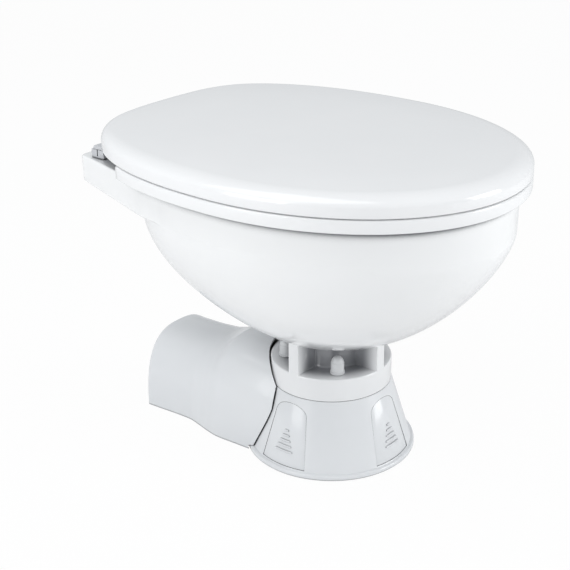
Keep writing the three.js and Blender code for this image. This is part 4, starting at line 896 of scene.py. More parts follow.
collar_radius = 66.0
collar_bottom = base_height + fit
collar_edge = 0.5
core_radius = 38.0
core_blend = 4.0
post_half = 6.5
pocket_floor = 106.0
pocket_ceiling = 140.5
pocket_edge = 1.6
pocket_cove = 2.2
ceiling_edge = 1.2
# Painted shade on the foot below the body: where it starts, where it is full, and how strong.
foot_shade_from = 176.0
foot_shade_full = 165.0
foot_shade = 0.3
# Painted shade close under the seat's edge and on the deck beside the hinges.
crevice_reach = 25.0
crevice_open = 0.86
crevice_shut = 0.7
crevice_low = 285.0
deck_shade_open = 0.85
deck_shade_shut = 0.5
body_foot = 141.5
crease = 272.0
rim_height = 314.0
rim_edge = 2.5
rim_half = 167.5
rim_front = 200.5
body_half = 164.5
body_front = 200.0
body_rear = 199.0
widest = 17.0
rear_square = 2.4
china_wall = 11.0
deck_rear = 247.0
deck_front = 70.0
deck_front_half = 163.2
deck_rear_half = 122.0
deck_corner = 8.0


def column_angles():
    """Directions round the bowl, closer together at the posts and at the deck's corners."""
    near = (3.2, 4.4, 5.0, 5.4, 5.8, 6.3, 7.0, 7.9, 8.8, 9.4, 9.8, 10.3, 11.2, 12.6)
    turns = list(np.arange(0, 360, 1.6))
    for quarter in (0, 90, 180, 270):
        turns += [quarter + step for step in near] + [quarter - step for step in near]
    for corner in (62.45, 117.55):
        turns += list(corner + np.arange(-3.5, 3.6, 0.35))
    turns = np.unique(np.round(np.mod(turns, 360), 3))
    kept = [turns[0]]
    for turn in turns[1:]:
        if turn - kept[-1] > 0.22:
            kept.append(turn)
    return np.radians(np.array(kept))


columns = column_angles()


def paint_pocket_shade(material, shader, color):
    """Painted shade: darker deep inside the foot pockets, and a little darker all round the foot below the
    body.
    """
    make, link = material.node_tree.nodes.new, material.node_tree.links.new
    place = make("ShaderNodeTexCoord").outputs["Object"]
    centred = make("ShaderNodeMapping")
    centred.inputs["Location"].default_value = (0.0, -axis_y, 0.0)
    centred.inputs["Scale"].default_value = (1.0, 1.0, 0.0)
    link(place, centred.inputs["Vector"])
    distance = make("ShaderNodeVectorMath")
    distance.operation = "LENGTH"
    link(centred.outputs[0], distance.inputs[0])
    height = make("ShaderNodeSeparateXYZ")
    link(place, height.inputs[0])
    front, back = (collar_radius - 0.5) * MM, (core_radius + 8.0) * MM
    deep = spread_over(material, distance.outputs["Value"], front, back)
    low = spread_over(material, height.outputs["Z"], (body_foot + 8.0) * MM, (body_foot + 1.0) * MM)
    start, full = foot_shade_from * MM, foot_shade_full * MM
    foot = spread_over(material, height.outputs["Z"], start, full, 0.0, foot_shade)
    # Painted shade on the foot below the body, then painted shade deep in the pockets.
    tint(material, shader, foot, (0.6, 0.61, 0.63))
    tint(material, shader, product(material, deep, low), color)


def paint_crevice_shade(material, shader, color):
    """Painted shade: the dark line close under the seat's edge, and the shade on the deck close beside the
    hinges.
    """
    make = material.node_tree.nodes.new
    cover = make("ShaderNodeAmbientOcclusion")
    cover.samples = 24
    cover.inputs["Distance"].default_value = crevice_reach * MM
    height = make("ShaderNodeSeparateXYZ")
    material.node_tree.links.new(make("ShaderNodeTexCoord").outputs["Object"], height.inputs[0])
    near = spread_over(material, cover.outputs["AO"], crevice_open, crevice_shut, kind="LINEAR")
    side = spread_over(material, height.outputs["Z"], (rim_height - 1.5) * MM, (rim_height - 2.5) * MM)
    high = spread_over(material, height.outputs["Z"], crevice_low * MM, (crevice_low + 5.0) * MM)
    tint(material, shader, product(material, product(material, near, side), high), color)
    shut = spread_over(material, cover.outputs["AO"], deck_shade_open, deck_shade_shut, kind="LINEAR")
    top = spread_over(material, height.outputs["Z"], (rim_height - 1.5) * MM, (rim_height - 0.5) * MM)
    tint(material, shader, product(material, shut, top), (0.36, 0.365, 0.38))


# Painted shade in the foot pockets and on the foot.
paint_pocket_shade(china, shader, (0.26, 0.265, 0.28))
# Painted shade under the seat's edge and on the deck beside the hinges.
paint_crevice_shade(china, shader, (0.11, 0.115, 0.125))


def oval(half, middle, front, rear, front_power, rear_power, steps=2880):
    """Points of a level oval with one power for its front half and one for its rear half."""
    turn = around(steps)
    sine, cosine = np.sin(turn), np.cos(turn)
    power = np.where(sine < 0, 2 / front_power, 2 / rear_power)
    reach = np.where(sine < 0, front + middle, rear - middle)
    x = half * np.sign(cosine) * np.abs(cosine) ** power
    y = middle + reach * np.sign(sine) * np.abs(sine) ** power
    return np.stack([x, y], 1)


def polar(points, centre):
    """How far an outline reaches from (0, centre) in each column's direction."""
    turn = np.mod(np.arctan2(points[:, 1] - centre, points[:, 0]), 2 * math.pi)
    reach = np.hypot(points[:, 0], points[:, 1] - centre)
    order = np.argsort(turn)
    return np.interp(columns, turn[order], reach[order], period=2 * math.pi)


def growth(share, round_power, rise_power):
    """How far the body has widened, from 0 at the foot to 1 under the rim."""
    return (1 - (1 - share) ** round_power) ** (1 / rise_power)


def body_outline(share, inset=0.0):
    """The body's level outline at a share of its height, and where its middle is."""
    across = growth(share, 1.76, 1.19)
    half = collar_radius + (body_half - collar_radius) * across - inset
    front = collar_radius + (body_front - collar_radius) * growth(share, 1.36, 1.44) - inset
    rear = collar_radius + (body_rear - collar_radius) * growth(share, 1.85, 1.09) - inset
    middle = widest * across
    return oval(half, middle, front, rear, 2, 2 + (rear_square - 2) * across), middle


def rim_outline(inset=0.0):
    return oval(rim_half - inset, widest, rim_front - inset, body_rear - inset, 2, rear_square)


def opening_outline(inset=0.0):
    """The bowl's mouth inside the rim."""
    return oval(117.0 - inset, 0.0, 152.0 - inset, 122.0 - inset, 2, 2.3)


def deck_outline(inset=0.0, corner=deck_corner):
    """The deck's plan: straight rear edge, round corners, sides that widen towards the front."""
    rear, half = deck_rear - inset, deck_rear_half - inset
    slant = math.atan2(deck_front_half - deck_rear_half, deck_rear - deck_front)
    centre = (half - corner * (1 - math.sin(slant)) / math.cos(slant), rear - corner)
    bend = arc(centre, corner, math.degrees(slant), 90, 24)
    right = np.array([(deck_front_half - inset, deck_front), *bend])
    left = right[::-1] * np.array([-1, 1])
    outline = np.concatenate([right, left, [(0.0, -deck_rear / 2)]])
    dense = []
    for first, second in zip(outline, np.roll(outline, -1, axis=0)):
        dense.append(first + (second - first) * np.linspace(0, 1, 120, endpoint=False)[:, None])
    return np.concatenate(dense)


def softer_least(first, second, width):
    """The lesser of two values, with a round crossing as wide as given."""
    blend = np.maximum(width - np.abs(first - second), 0) / width
    return np.minimum(first, second) - blend**2 * width / 4


def softer_most(first, second, width):
    return -softer_least(-first, -second, width)


def deck_under(y):
    """The height of the deck's sloping underside."""
    return rim_height - 28.0 - 15.0 * (deck_rear - y) / (deck_rear - deck_front)


grid = []


def lay_row(reach, height, centre=0.0):
    """Adds a row of the casting's skin, by its reach from (0, centre) in each column's direction."""
    x = reach * np.cos(columns)
    y = centre + reach * np.sin(columns)
    grid.append(np.stack([x, y, np.broadcast_to(height, x.shape)], 1))


def edge_turns(count):
    """Angles from nothing to a right angle, for the steps of a rounded edge."""
    return np.radians(np.linspace(0, 90, count))


slim = np.minimum(np.abs(np.sin(columns)), np.abs(np.cos(columns)))
post = post_half / np.maximum(slim, 1e-6)
recess = softer_least(post, np.full_like(post, collar_radius), pocket_edge)
recess = softer_most(recess, np.full_like(post, core_radius), core_blend)
recess = np.where(post >= collar_radius + pocket_edge, collar_radius, recess)
depth = collar_radius - recess
lip = np.minimum(pocket_edge, depth * 0.5)
cove = np.minimum(pocket_cove, depth * 0.3)
for turn in edge_turns(5):
    height = collar_bottom + collar_edge * (1 - math.cos(turn))
    lay_row(collar_radius - collar_edge * (1 - math.sin(turn)), height)
lay_row(collar_radius, pocket_floor - 9)
for turn in edge_turns(6):
    height = pocket_floor - pocket_edge + pocket_edge * math.sin(turn)
    lay_row(collar_radius - lip * (1 - math.cos(turn)), height)
for share in (0.25, 0.5, 0.75):
    lay_row(collar_radius - lip - (depth - lip - cove) * share, pocket_floor)
for turn in edge_turns(5):
    lay_row(recess + cove * (1 - math.sin(turn)), pocket_floor + pocket_cove * (1 - math.cos(turn)))
for height in (118.0, 129.0):
    lay_row(recess, height)
for turn in edge_turns(5):
    lay_row(recess + cove * (1 - math.cos(turn)), pocket_ceiling - pocket_cove * (1 - math.sin(turn)))
for share in (0.25, 0.5, 0.75):
    lay_row(recess + cove + (depth - lip - cove) * share, pocket_ceiling)
for turn in edge_turns(4):
    height = pocket_ceiling + ceiling_edge * (1 - math.cos(turn))
    lay_row(collar_radius - lip * (1 - math.sin(turn)), height)
for share in np.linspace(0.02, 1, 56) ** 1.7:
    outline, middle = body_outline(share)
    lay_row(polar(outline, middle), body_foot + (crease - body_foot) * share, middle)

band_low = polar(body_outline(1.0)[0], widest)
band_high = polar(rim_outline(), widest)
deck = polar(deck_outline(), widest)
deck_low = polar(deck_outline(0.5), widest)
behind = widest + np.maximum(deck, band_high) * np.sin(columns)
deck_start = 80
blend_start = 85.0
blend_length = 60.0
lower_inset = 0.4
opens = np.clip((behind - blend_start) / blend_length, 0, 1)
opens = opens**2 * (3 - 2 * opens)
soft = 0.5 + 9.0 * opens
rim_low = band_high - lower_inset
whole = np.where(behind > deck_start, softer_most(deck, band_high, soft), band_high)
whole_low = np.where(behind > deck_start, softer_most(deck_low, rim_low, soft), rim_low)
proud = np.maximum(whole_low - band_high, 0)


def band_at(height):
    """The rim band's reach at a height, from the crease up to the rim's rounded edge."""
    return band_low + (band_high - band_low) * (height - crease) / (rim_height - rim_edge - crease)


foot_y = widest + band_high * np.sin(columns)
under = np.maximum(deck_under(foot_y), 276.5)
cove_rise = 2.6
cove_reach = np.minimum(9.0, proud * 0.45)
edge_rise = 1.6
edge_reach = np.minimum(1.2, proud * 0.3)
for share in np.linspace(0, 1, 6)[1:]:
    height = crease + (under - cove_rise - crease) * share
    lay_row(band_at(height), height, widest)
for turn in edge_turns(8)[1:]:
    height = under - cove_rise * (1 - math.sin(turn))
    lay_row(band_at(height) + cove_reach * (1 - math.cos(turn)), height, widest)
start = band_at(under) + cove_reach
flat = 1 - np.clip(proud / 4.0, 0, 1)
stop = start + np.maximum(whole_low - edge_reach - start, 0) * (1 - flat)
for share in np.linspace(0, 1, 9)[1:]:
    reach = start + (stop - start) * share
    slope_height = np.maximum(deck_under(widest + reach * np.sin(columns)), under)
    lay_row(reach, slope_height * (1 - flat) + (under + 1.2 * share) * flat, widest)
ledge = grid[-1][:, 2]
for turn in edge_turns(5)[1:]:
    lay_row(stop + edge_reach * math.sin(turn), ledge + edge_rise * (1 - math.cos(turn)), widest)
side_low = stop + edge_reach
for share in np.linspace(0, 1, 9)[1:]:
    height = ledge + edge_rise + (rim_height - rim_edge - ledge - edge_rise) * share
    lay_row(side_low + (whole - side_low) * share, height, widest)
for turn in edge_turns(7)[1:]:
    height = rim_height - rim_edge + rim_edge * math.sin(turn)
    lay_row(whole - rim_edge * (1 - math.cos(turn)), height, widest)
mouth = polar(opening_outline(), 0.0)
mouth_edge = 4.0
for share in (0.1, 0.25, 0.4, 0.55, 0.7, 0.85, 0.95):
    centre = widest * (1 - share)
    reach = (whole - rim_edge) * (1 - share) + (mouth + mouth_edge) * share
    lay_row(reach, rim_height, centre)
for turn in edge_turns(7):
    height = rim_height - mouth_edge * (1 - math.cos(turn))
    lay_row(mouth + mouth_edge * (1 - math.sin(turn)), height)
lay_row(mouth, 300.0)
inner_lip_half = 3.5
inner_lip_low = 292.5
for turn in np.radians(np.linspace(0, 180, 9)):
    height = inner_lip_low - inner_lip_half * math.sin(turn)
    lay_row(mouth + inner_lip_half * (1 - math.cos(turn)), height)
channel_top = 301.0
channel_cove = 6.0
lay_row(polar(opening_outline(-2 * inner_lip_half), 0.0), channel_top)
roof = polar(rim_outline(china_wall), widest)
lay_row(roof - channel_cove, channel_top, widest)
for turn in edge_turns(5)[1:]:
    height = channel_top - channel_cove * (1 - math.cos(turn))
    lay_row(roof - channel_cove * (1 - math.sin(turn)), height, widest)
inside_end = 0.225
for share in np.linspace(1, inside_end, 34):
    outline, middle = body_outline(share, china_wall)
    lay_row(polar(outline, middle), body_foot + (crease - body_foot) * share, middle)
drain = 24.0
drain_edge = 2.5
drain_top = 152.0
last_outline, last_middle = body_outline(inside_end, china_wall)
last = polar(last_outline, last_middle)
last_height = body_foot + (crease - body_foot) * inside_end
for share in (0.2, 0.4, 0.6, 0.8, 0.93):
    centre = last_middle * (1 - share)
    height = last_height + (drain_top + 0.5 - last_height) * share
    lay_row(last + (drain + drain_edge - last) * share, height, centre)
for turn in edge_turns(5)[1:]:
    lay_row(drain + drain_edge * (1 - math.sin(turn)), drain_top - drain_edge * (1 - math.cos(turn)))
for height in (130.0, 105.0, collar_bottom):
    lay_row(drain, height)
lay_row(45.0, collar_bottom)
bowl = skin("bowl_casting", grid, ring=True)
inlet_height = 260.0
inlet = (0.0, inlet_height)
inlet_front = 184.0
inlet_face = 203.0
weld(bowl, rod_along("inlet_boss", "y", 17.0, inlet_front, inlet_face, inlet, 64))
carve(bowl, rod_along("inlet_hole", "y", 12.0, inlet_front - 14, inlet_face + 3, inlet, 64))
hinge_bolt = (77.5, 219.5)
deck_bolt_hole = 4.35
spot_height = 285.27
spot_radius = 12.0
for side in (-1, 1):
    place = (side * hinge_bolt[0], hinge_bolt[1])
    carve(bowl, rod_along("deck_hole", "z", deck_bolt_hole, spot_height - 2, rim_height + 2, place, 32))
    carve(bowl, rod_along("deck_spot", "z", spot_radius, spot_height - 20, spot_height, place, 48))
for x, y in quarters:
    place = (x * bolt_offset, y * bolt_offset)
    carve(bowl, rod_along("bolt_hole", "z", bolt_hole, collar_bottom - 2, pocket_floor + 2, place, 24))
smooth(tidy_mesh(bowl), 50)
show(bowl, china, "root", "china", "bowl")
dress(rubber, "bowl_gasket")
dress(steel, "bowl_bolt_1", "bowl_bolt_2", "bowl_bolt_3", "bowl_bolt_4")

# Cap nuts
# Four moulded nylon nuts, each with a washer flange and a domed cap, one in each foot pocket. Each is
# screwed down on a steel bolt that comes up through the base and the foot, and so holds the bowl.


def mild_nylon(name, color, first, second):
    """Moulded nylon: faint mottling, and a dull shine that wanders a little."""
    material, shader = principled(name, color, 0.34)
    vary_color(material, shader, cloud(material, 160.0), first, second)
    vary_roughness(material, shader, cloud(material, 260.0), 0.3, 0.4)
    return material, shader


nut_nylon, _ = mild_nylon("pale_grey_nylon", (0.62, 0.63, 0.64), (0.63, 0.64, 0.65), (0.6, 0.61, 0.62))
nut_bottom = pocket_floor + fit
nut = turned("nut", [
    (0.0, nut_bottom + 11.65), (4.35, nut_bottom + 11.65), (4.35, nut_bottom), (7.5, nut_bottom),
    (7.9, nut_bottom + 0.4), (7.9, nut_bottom + 2.2), (7.5, nut_bottom + 2.6), (7.1, nut_bottom + 2.7),
    (7.1, nut_bottom + 12.2), (6.9, nut_bottom + 12.5), (6.6, nut_bottom + 12.6),
    *[(6.6 * math.cos(t), nut_bottom + 12.8 + 6.7 * math.sin(t)) for t in np.radians(np.arange(10, 91, 10))],
], 40)
nut.data.transform(Matrix.Translation((0, -axis_y, 0)))


def square_tree(name, material, template):
    """Geometry nodes: a piece at each corner of a square, given by half the square's side."""
    tree = new_tree(name, Spread="Float")
    make, link = tree.nodes.new, tree.links.new
    double = make("ShaderNodeMath")
    double.operation = "MULTIPLY"
    double.inputs[1].default_value = 2.0
    link(make("NodeGroupInput").outputs["Spread"], double.inputs[0])
    corners = make("GeometryNodeMeshGrid")
    corners.inputs["Vertices X"].default_value = 2
    corners.inputs["Vertices Y"].default_value = 2
    link(double.outputs[0], corners.inputs["Size X"])
    link(double.outputs[0], corners.inputs["Size Y"])
    return painted(tree, copies_on(tree, corners.outputs["Mesh"], template), material)


nuts = grown("cap_nuts", square_tree("four_nuts", nut_nylon, nut), {"Spread": bolt_offset * MM})
nuts.data.transform(Matrix.Translation((0, axis_y, 0)))
bpy.data.objects.remove(nut)
smooth(nuts, 40)
show(nuts, nut_nylon, "root", "nylon", "cap_nut_1", "cap_nut_2", "cap_nut_3", "cap_nut_4")

# Rinse water inlet
# A rubber bush seals the hole in the china's boss. A moulded nylon elbow pushes into the bush, can turn
# in it, and points its barb down for the rinse hose.
nylon, shader = mild_nylon("white_nylon", (0.84, 0.845, 0.84), (0.84, 0.845, 0.84), (0.81, 0.815, 0.81))
raise_surface(nylon, shader, cloud(nylon, 800.0), 0.0001, 0.1)
bush = along_y("inlet_bush_ring", [
    (9.35, inlet_front), (11.65, inlet_front), (11.65, 203.35), (15.0, 203.35), (15.5, 203.85),
    (15.5, 205.75), (14.9, 206.35), (9.35, 206.35),
], inlet, 72, ring=True)
show(smooth(bush), rubber, "root", "rubber", "inlet_bush")
inlet_bore = 6.8
knee = (0.0, 218.0, inlet_height)
spout = rod_along("inlet_elbow_body", "y", 9.0, 189.0, knee[1], inlet, 64)
leg = turned("leg", [
    (0.0, 214.0), (8.9, 214.0), (9.5, 214.6), (9.5, 219.0), (9.0, 219.4), (9.5, 224.0), (9.0, 224.4),
    (9.5, 229.0), (9.0, 229.4), (9.0, inlet_height), (0.0, inlet_height),
], 64)
leg.data.transform(Matrix.Translation((0, knee[1] * MM, 0)))
weld(spout, leg, ball("knee", 10.6, knee))
hollow = rod_along("hollow", "y", inlet_bore, 185.0, knee[1], inlet, 48)
down = rod_along("down", "z", inlet_bore, 210.0, inlet_height, knee[:2], 48)
weld(hollow, down, ball("bend", inlet_bore, knee))
carve(spout, hollow)
show(smooth(tidy_mesh(spout)), nylon, "inlet", "nylon", "inlet_elbow")

# Hinges
# Two nylon brackets are bolted through the deck, with wing nuts below, and snap-on caps hide the bolts.
# A steel pin in each bracket carries the seat's knuckle and then the lid's.
hinge_y = 234.0
hinge_z = 323.0
knuckle_radius = 5.8
bracket_inner = 62.9
bracket_outer = 121.0
bracket_front = 211.0
bracket_rear = 229.0
bracket_low = rim_height + fit
bracket_high = 323.75
hinge_axis = (hinge_y, hinge_z)
knuckle_end = 74.9
pin_end = 73.7
pin_hole = 3.35
pry_slot = (219.35, 220.65)
cap_rise = 3.4
cap_edge = 2.6
hinge_nylon, shader = mild_nylon("grey_nylon", (0.56, 0.57, 0.59), (0.56, 0.57, 0.59), (0.53, 0.54, 0.56))
# Painted shade in the hinge nylon's slots, gaps and inner corners.
paint_seam_shade(hinge_nylon, shader, (0.01, 0.01, 0.012))


def side_profile(name, outline, start, stop):
    """A shape drawn in the (y, z) plane and drawn out along X."""
    rows = [[(x, y, z) for y, z in outline] for x in (start, stop)]
    return skin(name, rows)


for side, word in ((1, "right"), (-1, "left")):
    ends = across_pair(side, bracket_inner, bracket_outer)
    bracket = block("hinge_bracket_" + word + "_body", (ends[0], bracket_front, bracket_low),
                    (ends[1], bracket_rear, bracket_high))
    rounded(bracket, 0.5, 2)
    ends = across_pair(side, bracket_inner, knuckle_end)
    knuckle = [(bracket_rear - 2, bracket_low + 0.1), (hinge_y - 1.5, bracket_low + 0.1)]
    knuckle += arc(hinge_axis, knuckle_radius, -75, 172, 28)
    knuckle += [(bracket_rear - 2, bracket_high - 0.1)]
    lug = rounded(side_profile("lug", knuckle, *ends), 0.3, 2, 60)
    weld(bracket, lug)
    ends = across_pair(side, bracket_inner - 2, pin_end)
    carve(bracket, rod_along("bore", "x", pin_hole, *ends, hinge_axis, 36))
    place = (side * hinge_bolt[0], hinge_bolt[1])
    carve(bracket, rod_along("hole", "z", deck_bolt_hole, bracket_low - 2, bracket_high + 2, place, 32))
    carve(bracket, rod_along("room", "z", 6.85, 319.05, bracket_high + 2, place, 40))
    ends = across_pair(side, bracket_outer - 1.6, bracket_outer + 2)
    low, high = bracket_high - 7, bracket_high + 2
    carve(bracket, block("slot", (ends[0], pry_slot[0], low), (ends[1], pry_slot[1], high)))
    show(smooth(tidy_mesh(bracket)), hinge_nylon, "root", "nylon", "hinge_bracket_" + word)

    rear = hinge_y - knuckle_radius - fit
    low, high = bracket_high + fit, bracket_high + fit + cap_rise
    edge = []
    for turn in edge_turns(7)[1:]:
        edge.append((cap_edge * (1 - math.cos(turn)), high - cap_edge + cap_edge * math.sin(turn)))
    rows = []
    for inset, height in [(0.0, low), (0.0, high - cap_edge), *edge]:
        corner = 2.8 - inset * 0.6
        spans = (bracket_inner + inset, bracket_outer - inset), (bracket_front + inset, rear - inset)
        loop = []
        for quarter, (cx, cy) in enumerate((
            (spans[0][1] - corner, spans[1][1] - corner), (spans[0][0] + corner, spans[1][1] - corner),
            (spans[0][0] + corner, spans[1][0] + corner), (spans[0][1] - corner, spans[1][0] + corner),
        )):
            points = arc((cx, cy), corner, quarter * 90, quarter * 90 + 90, 7)
            loop += [(side * x, y, height) for x, y in points]
        rows.append(loop)
    cap = skin("hinge_cap_" + word + "_shell", rows)
    show(smooth(cap), hinge_nylon, "root", "nylon", "hinge_cap_" + word)

    top = spot_height - fit
    bottom = top - 10.0
    nut = turned("wing_nut_" + word + "_body", [
        (4.35, bottom), (6.5, bottom), (7.0, bottom + 0.5), (7.0, top - 1.5), (9.7, top - 1.5),
        (10.0, top - 1.2), (10.0, top), (4.35, top),
    ], 48, ring=True)
    wings = rounded(block("wings", (-17, -1.5, bottom + 0.1), (17, 1.5, top - 1.4)), 1.2, 4)
    carve(wings, rod_along("middle", "z", 5.5, bottom - 2, top + 2, (0.0, 0.0), 32))
    weld(nut, wings)
    nut.data.transform(Matrix.Translation((place[0] * MM, place[1] * MM, 0)))
    show(smooth(tidy_mesh(nut)), nylon, "root", "nylon", "wing_nut_" + word)
dress(steel, "hinge_pin_right", "hinge_pin_left", "deck_bolt_right", "deck_bolt_left")

# Seat
# A solid ring of glossy thermoset plastic, cut straight behind, with two rear arms that end in hinge
# knuckles. Its opening has a soft flare at the top edge, and four rubber bumpers under it rest on the rim.
seat_white, seat_shade = (0.87, 0.875, 0.88), (0.86, 0.866, 0.872)
seat_plastic, _ = gloss_moulding("glossy_seat_plastic", seat_white, seat_shade, 0.1, 0.15, 0.5)
seat_low = rim_height + 2.4
seat_high = seat_low + 13.2
seat_rear = 153.0
seat_mouth_half = 113.0
seat_mouth_front = 146.0
seat_mouth_rear = 104.0
lid_half = 182.4
lid_front = 210.0
lid_reach = 245.0
lid_limit = 229.0
lid_front_power = 2.05
lid_steps = 224
bumper_sunk = 1.8
seat_bumper = 8.0
lid_bumper = 5.0


def lid_outline(inset, steps=lid_steps, rear_share=1.0):
    """The outline that seat and lid share: an oval with a flattened rear end."""
    rear_inset = inset * rear_share
    rear = widest + lid_reach - rear_inset
    points = oval(lid_half - inset, widest, lid_front - inset, rear, lid_front_power, 2.3, steps)
    back = np.maximum(points[:, 1] - widest, 0)
    kept = back * (1 + (back / (lid_limit - rear_inset)) ** 12) ** (-1 / 12)
    points[:, 1] += kept - back
    return points


def even(points, steps):
    """The same outline with its points spaced evenly along it."""
    closed = np.concatenate([points, points[:1]])
    run = np.concatenate([[0], np.cumsum(np.hypot(*np.diff(closed, axis=0).T))])
    along = np.linspace(0, run[-1], steps, endpoint=False)
    return np.stack([np.interp(along, run, closed[:, 0]), np.interp(along, run, closed[:, 1])], 1)


def level(points, height):
    return np.column_stack([points, np.broadcast_to(height, len(points))])


def seat_outline(inset):
    """The lid's outline cut straight behind, where the lid goes on to the hinges."""
    points = lid_outline(inset, 1440)
    rear = seat_rear - inset * 0.6
    points[:, 1] = softer_least(points[:, 1], np.full(len(points), rear), 3.0)
    return even(points, lid_steps)


def seat_opening(inset):
    front, rear = seat_mouth_front - inset, seat_mouth_rear - inset
    return even(oval(seat_mouth_half - inset, 0.0, front, rear, 2, 2.3, 1440), lid_steps)


def quarter_rows(outline, height, radius, rising):
    """Rows of a rounded edge: from the side up to the flat face, or from the lower face up to the side."""
    rows = []
    for turn in edge_turns(5) if rising else edge_turns(5)[::-1]:
        inset = radius * (1 - math.cos(turn))
        rows.append(level(outline(inset), height + (1 if rising else -1) * radius * math.sin(turn)))
    return rows


seat_rows = quarter_rows(seat_outline, seat_low + 1.4, 1.4, False)
seat_rows += quarter_rows(seat_outline, seat_high - 1.6, 1.6, True)
for turn in edge_turns(7)[::-1]:
    seat_rows.append(level(seat_opening(-5.0 * (1 - math.cos(turn))), seat_high - 5.0 * (1 - math.sin(turn))))
seat_rows += [level(seat_opening(0.0), seat_low + 3.0)]
for turn in edge_turns(5)[1:]:
    seat_rows.append(level(seat_opening(-2.0 * (1 - math.cos(turn))), seat_low + 2.0 * (1 - math.sin(turn))))
seat = skin("seat_ring", seat_rows, ring=True)
arm_low = seat_low + fit
arm_inner = 47.95
arm_outer = 62.55
for side in (-1, 1):
    ends = across_pair(side, arm_inner, arm_outer)
    profile = [(seat_rear - 4, arm_low), (hinge_y - 2.0, arm_low)]
    profile += arc(hinge_axis, knuckle_radius, -88, 160, 32)
    profile += [(seat_rear - 4, arm_low + 8)]
    weld(seat, rounded(side_profile("arm", profile, *ends), 0.8, 3, 60))
    ends = across_pair(side, arm_inner - 2, arm_outer + 2)
    carve(seat, rod_along("bore", "x", pin_hole, *ends, hinge_axis, 36))


def turned_place(turn, half, middle, front, rear, front_power, rear_power):
    """One point of an oval, in the direction of a turn."""
    sine, cosine = math.sin(turn), math.cos(turn)
    power = 2 / (front_power if sine < 0 else rear_power)
    reach = front + middle if sine < 0 else rear - middle
    return half * cosine**power, middle + reach * math.copysign(abs(sine) ** power, sine)


bumper_places = []
for turn in (math.radians(-32.5), math.radians(27)):
    inside = turned_place(turn, seat_mouth_half, 0.0, seat_mouth_front, seat_mouth_rear, 2, 2.3)
    outside = turned_place(turn, lid_half, widest, lid_front, widest + lid_reach, lid_front_power, 2.3)
    x, y = (inside[0] + outside[0]) / 2, (inside[1] + outside[1]) / 2
    bumper_places += [(-x, y), (x, y)]
for place in bumper_places:
    socket_top = seat_low + bumper_sunk + fit
    carve(seat, rod_along("socket", "z", seat_bumper + fit, seat_low - 2, socket_top, place, 40))
show(smooth(tidy_mesh(seat), 45), seat_plastic, "seat", "seat_plastic", "seat")


def places_tree(name, material, template):
    """Geometry nodes: a piece at each given point, at a named size."""
    tree = new_tree(name, Places="Geometry", Size="Float")
    given = tree.nodes.new("NodeGroupInput").outputs
    return painted(tree, copies_on(tree, given["Places"], template, given["Size"]), material)


def bumpers(name, places, radius, low, high):
    """Rubber bumpers with a domed foot, one at each place."""
    foot = min(1.6, radius * 0.3)
    outline = [(0.0, high), (radius - 0.3, high), (radius, high - 0.3)]
    outline += [(radius - foot * (1 - math.cos(t)), low + foot * (1 - math.sin(t))) for t in edge_turns(6)]
    template = turned("bumper", outline + [(0.0, low)], 40)
    template.data.transform(Matrix.Translation((0, -axis_y, 0)))
    points = [(x * MM, y * MM + axis_y, 0) for x, y in places]
    thing = grown(name, places_tree(name, rubber, template), {"Size": 1.0}, points)
    bpy.data.objects.remove(template)
    return smooth(thing, 40)


seat_feet = bumpers("seat_bumpers", bumper_places, seat_bumper, rim_height + fit, seat_low + bumper_sunk)
names = ["seat_bumper_" + number for number in "1234"]
show(seat_feet, rubber, "seat", "rubber", *names)

# Lid
# A shallow shell of the seat's plastic with a broad soft upper edge and an almost flat top.
# Two lugs under its rear edge turn on the hinge pins, and two small bumpers rest on the seat.
lid_low = seat_high + 1.3
lid_high = lid_low + 21.0
edge_inset = 20.0
edge_rise_lid = 11.0
rear_edge_share = 0.15
crown = 1.0
edge_low = lid_high - crown - edge_rise_lid


def lid_row(inset, height, rear_share=1.0):
    return level(lid_outline(inset, lid_steps, rear_share), height)


lid_inside = ((24.0, 12.5), (21.0, 12.2), (20.4, 10.5), (18.0, 1.0), (17.2, 0.2), (16.0, 0.0))
lid_rows = [lid_row(inset, lid_low + rise) for inset, rise in lid_inside]
lid_rows += quarter_rows(lid_outline, lid_low + 1.3, 1.3, False)
for turn in np.radians(np.linspace(0, 90, 15)):
    step = edge_inset * (1 - math.cos(turn))
    lid_rows.append(lid_row(step, edge_low + edge_rise_lid * math.sin(turn), rear_edge_share))
rear_start = edge_inset * rear_edge_share
crown_inset = 50.0
for share in (0.12, 0.3, 0.5, 0.75, 1.0):
    inset = edge_inset + crown_inset * share
    rear_inset = rear_start + (edge_inset + crown_inset - rear_start) * share
    lid_rows.append(lid_row(inset, lid_high - crown * (1 - share) ** 2, rear_inset / inset))
for inset in (100.0, 130.0, 155.0):
    lid_rows.append(lid_row(inset, lid_high))
lid = skin("lid_shell", [lid_row(155.0, lid_low + 12.5), lid_row(90.0, lid_low + 12.5), *lid_rows])
for side in (-1, 1):
    ends = across_pair(side, 33.0, 47.6)
    profile = [(hinge_y - 4.0, lid_low + 2.2), *arc(hinge_axis, knuckle_radius, 134, 406, 32)]
    profile += [(hinge_y + 4.0, lid_low + 2.2)]
    weld(lid, rounded(side_profile("lug", profile, *ends), 0.6, 2, 60))
    ends = across_pair(side, 31.0, 50.0)
    carve(lid, rod_along("bore", "x", pin_hole, *ends, hinge_axis, 36))
bumper_inset = 9
half, front, rear = lid_half - bumper_inset, lid_front - bumper_inset, lid_reach + widest - bumper_inset
lid_place = turned_place(math.radians(-31), half, widest, front, rear, lid_front_power, 2.3)
lid_places = [(side * lid_place[0], lid_place[1]) for side in (-1, 1)]
for place in lid_places:
    socket_top = lid_low + bumper_sunk + fit
    carve(lid, rod_along("socket", "z", lid_bumper + fit, lid_low - 2, socket_top, place, 32))
show(smooth(tidy_mesh(lid), 45), seat_plastic, "lid", "seat_plastic", "lid")
lid_feet = bumpers("lid_bumpers", lid_places, lid_bumper, seat_high + fit, lid_low + bumper_sunk)
show(lid_feet, rubber, "lid", "rubber", "lid_bumper_right", "lid_bumper_left")

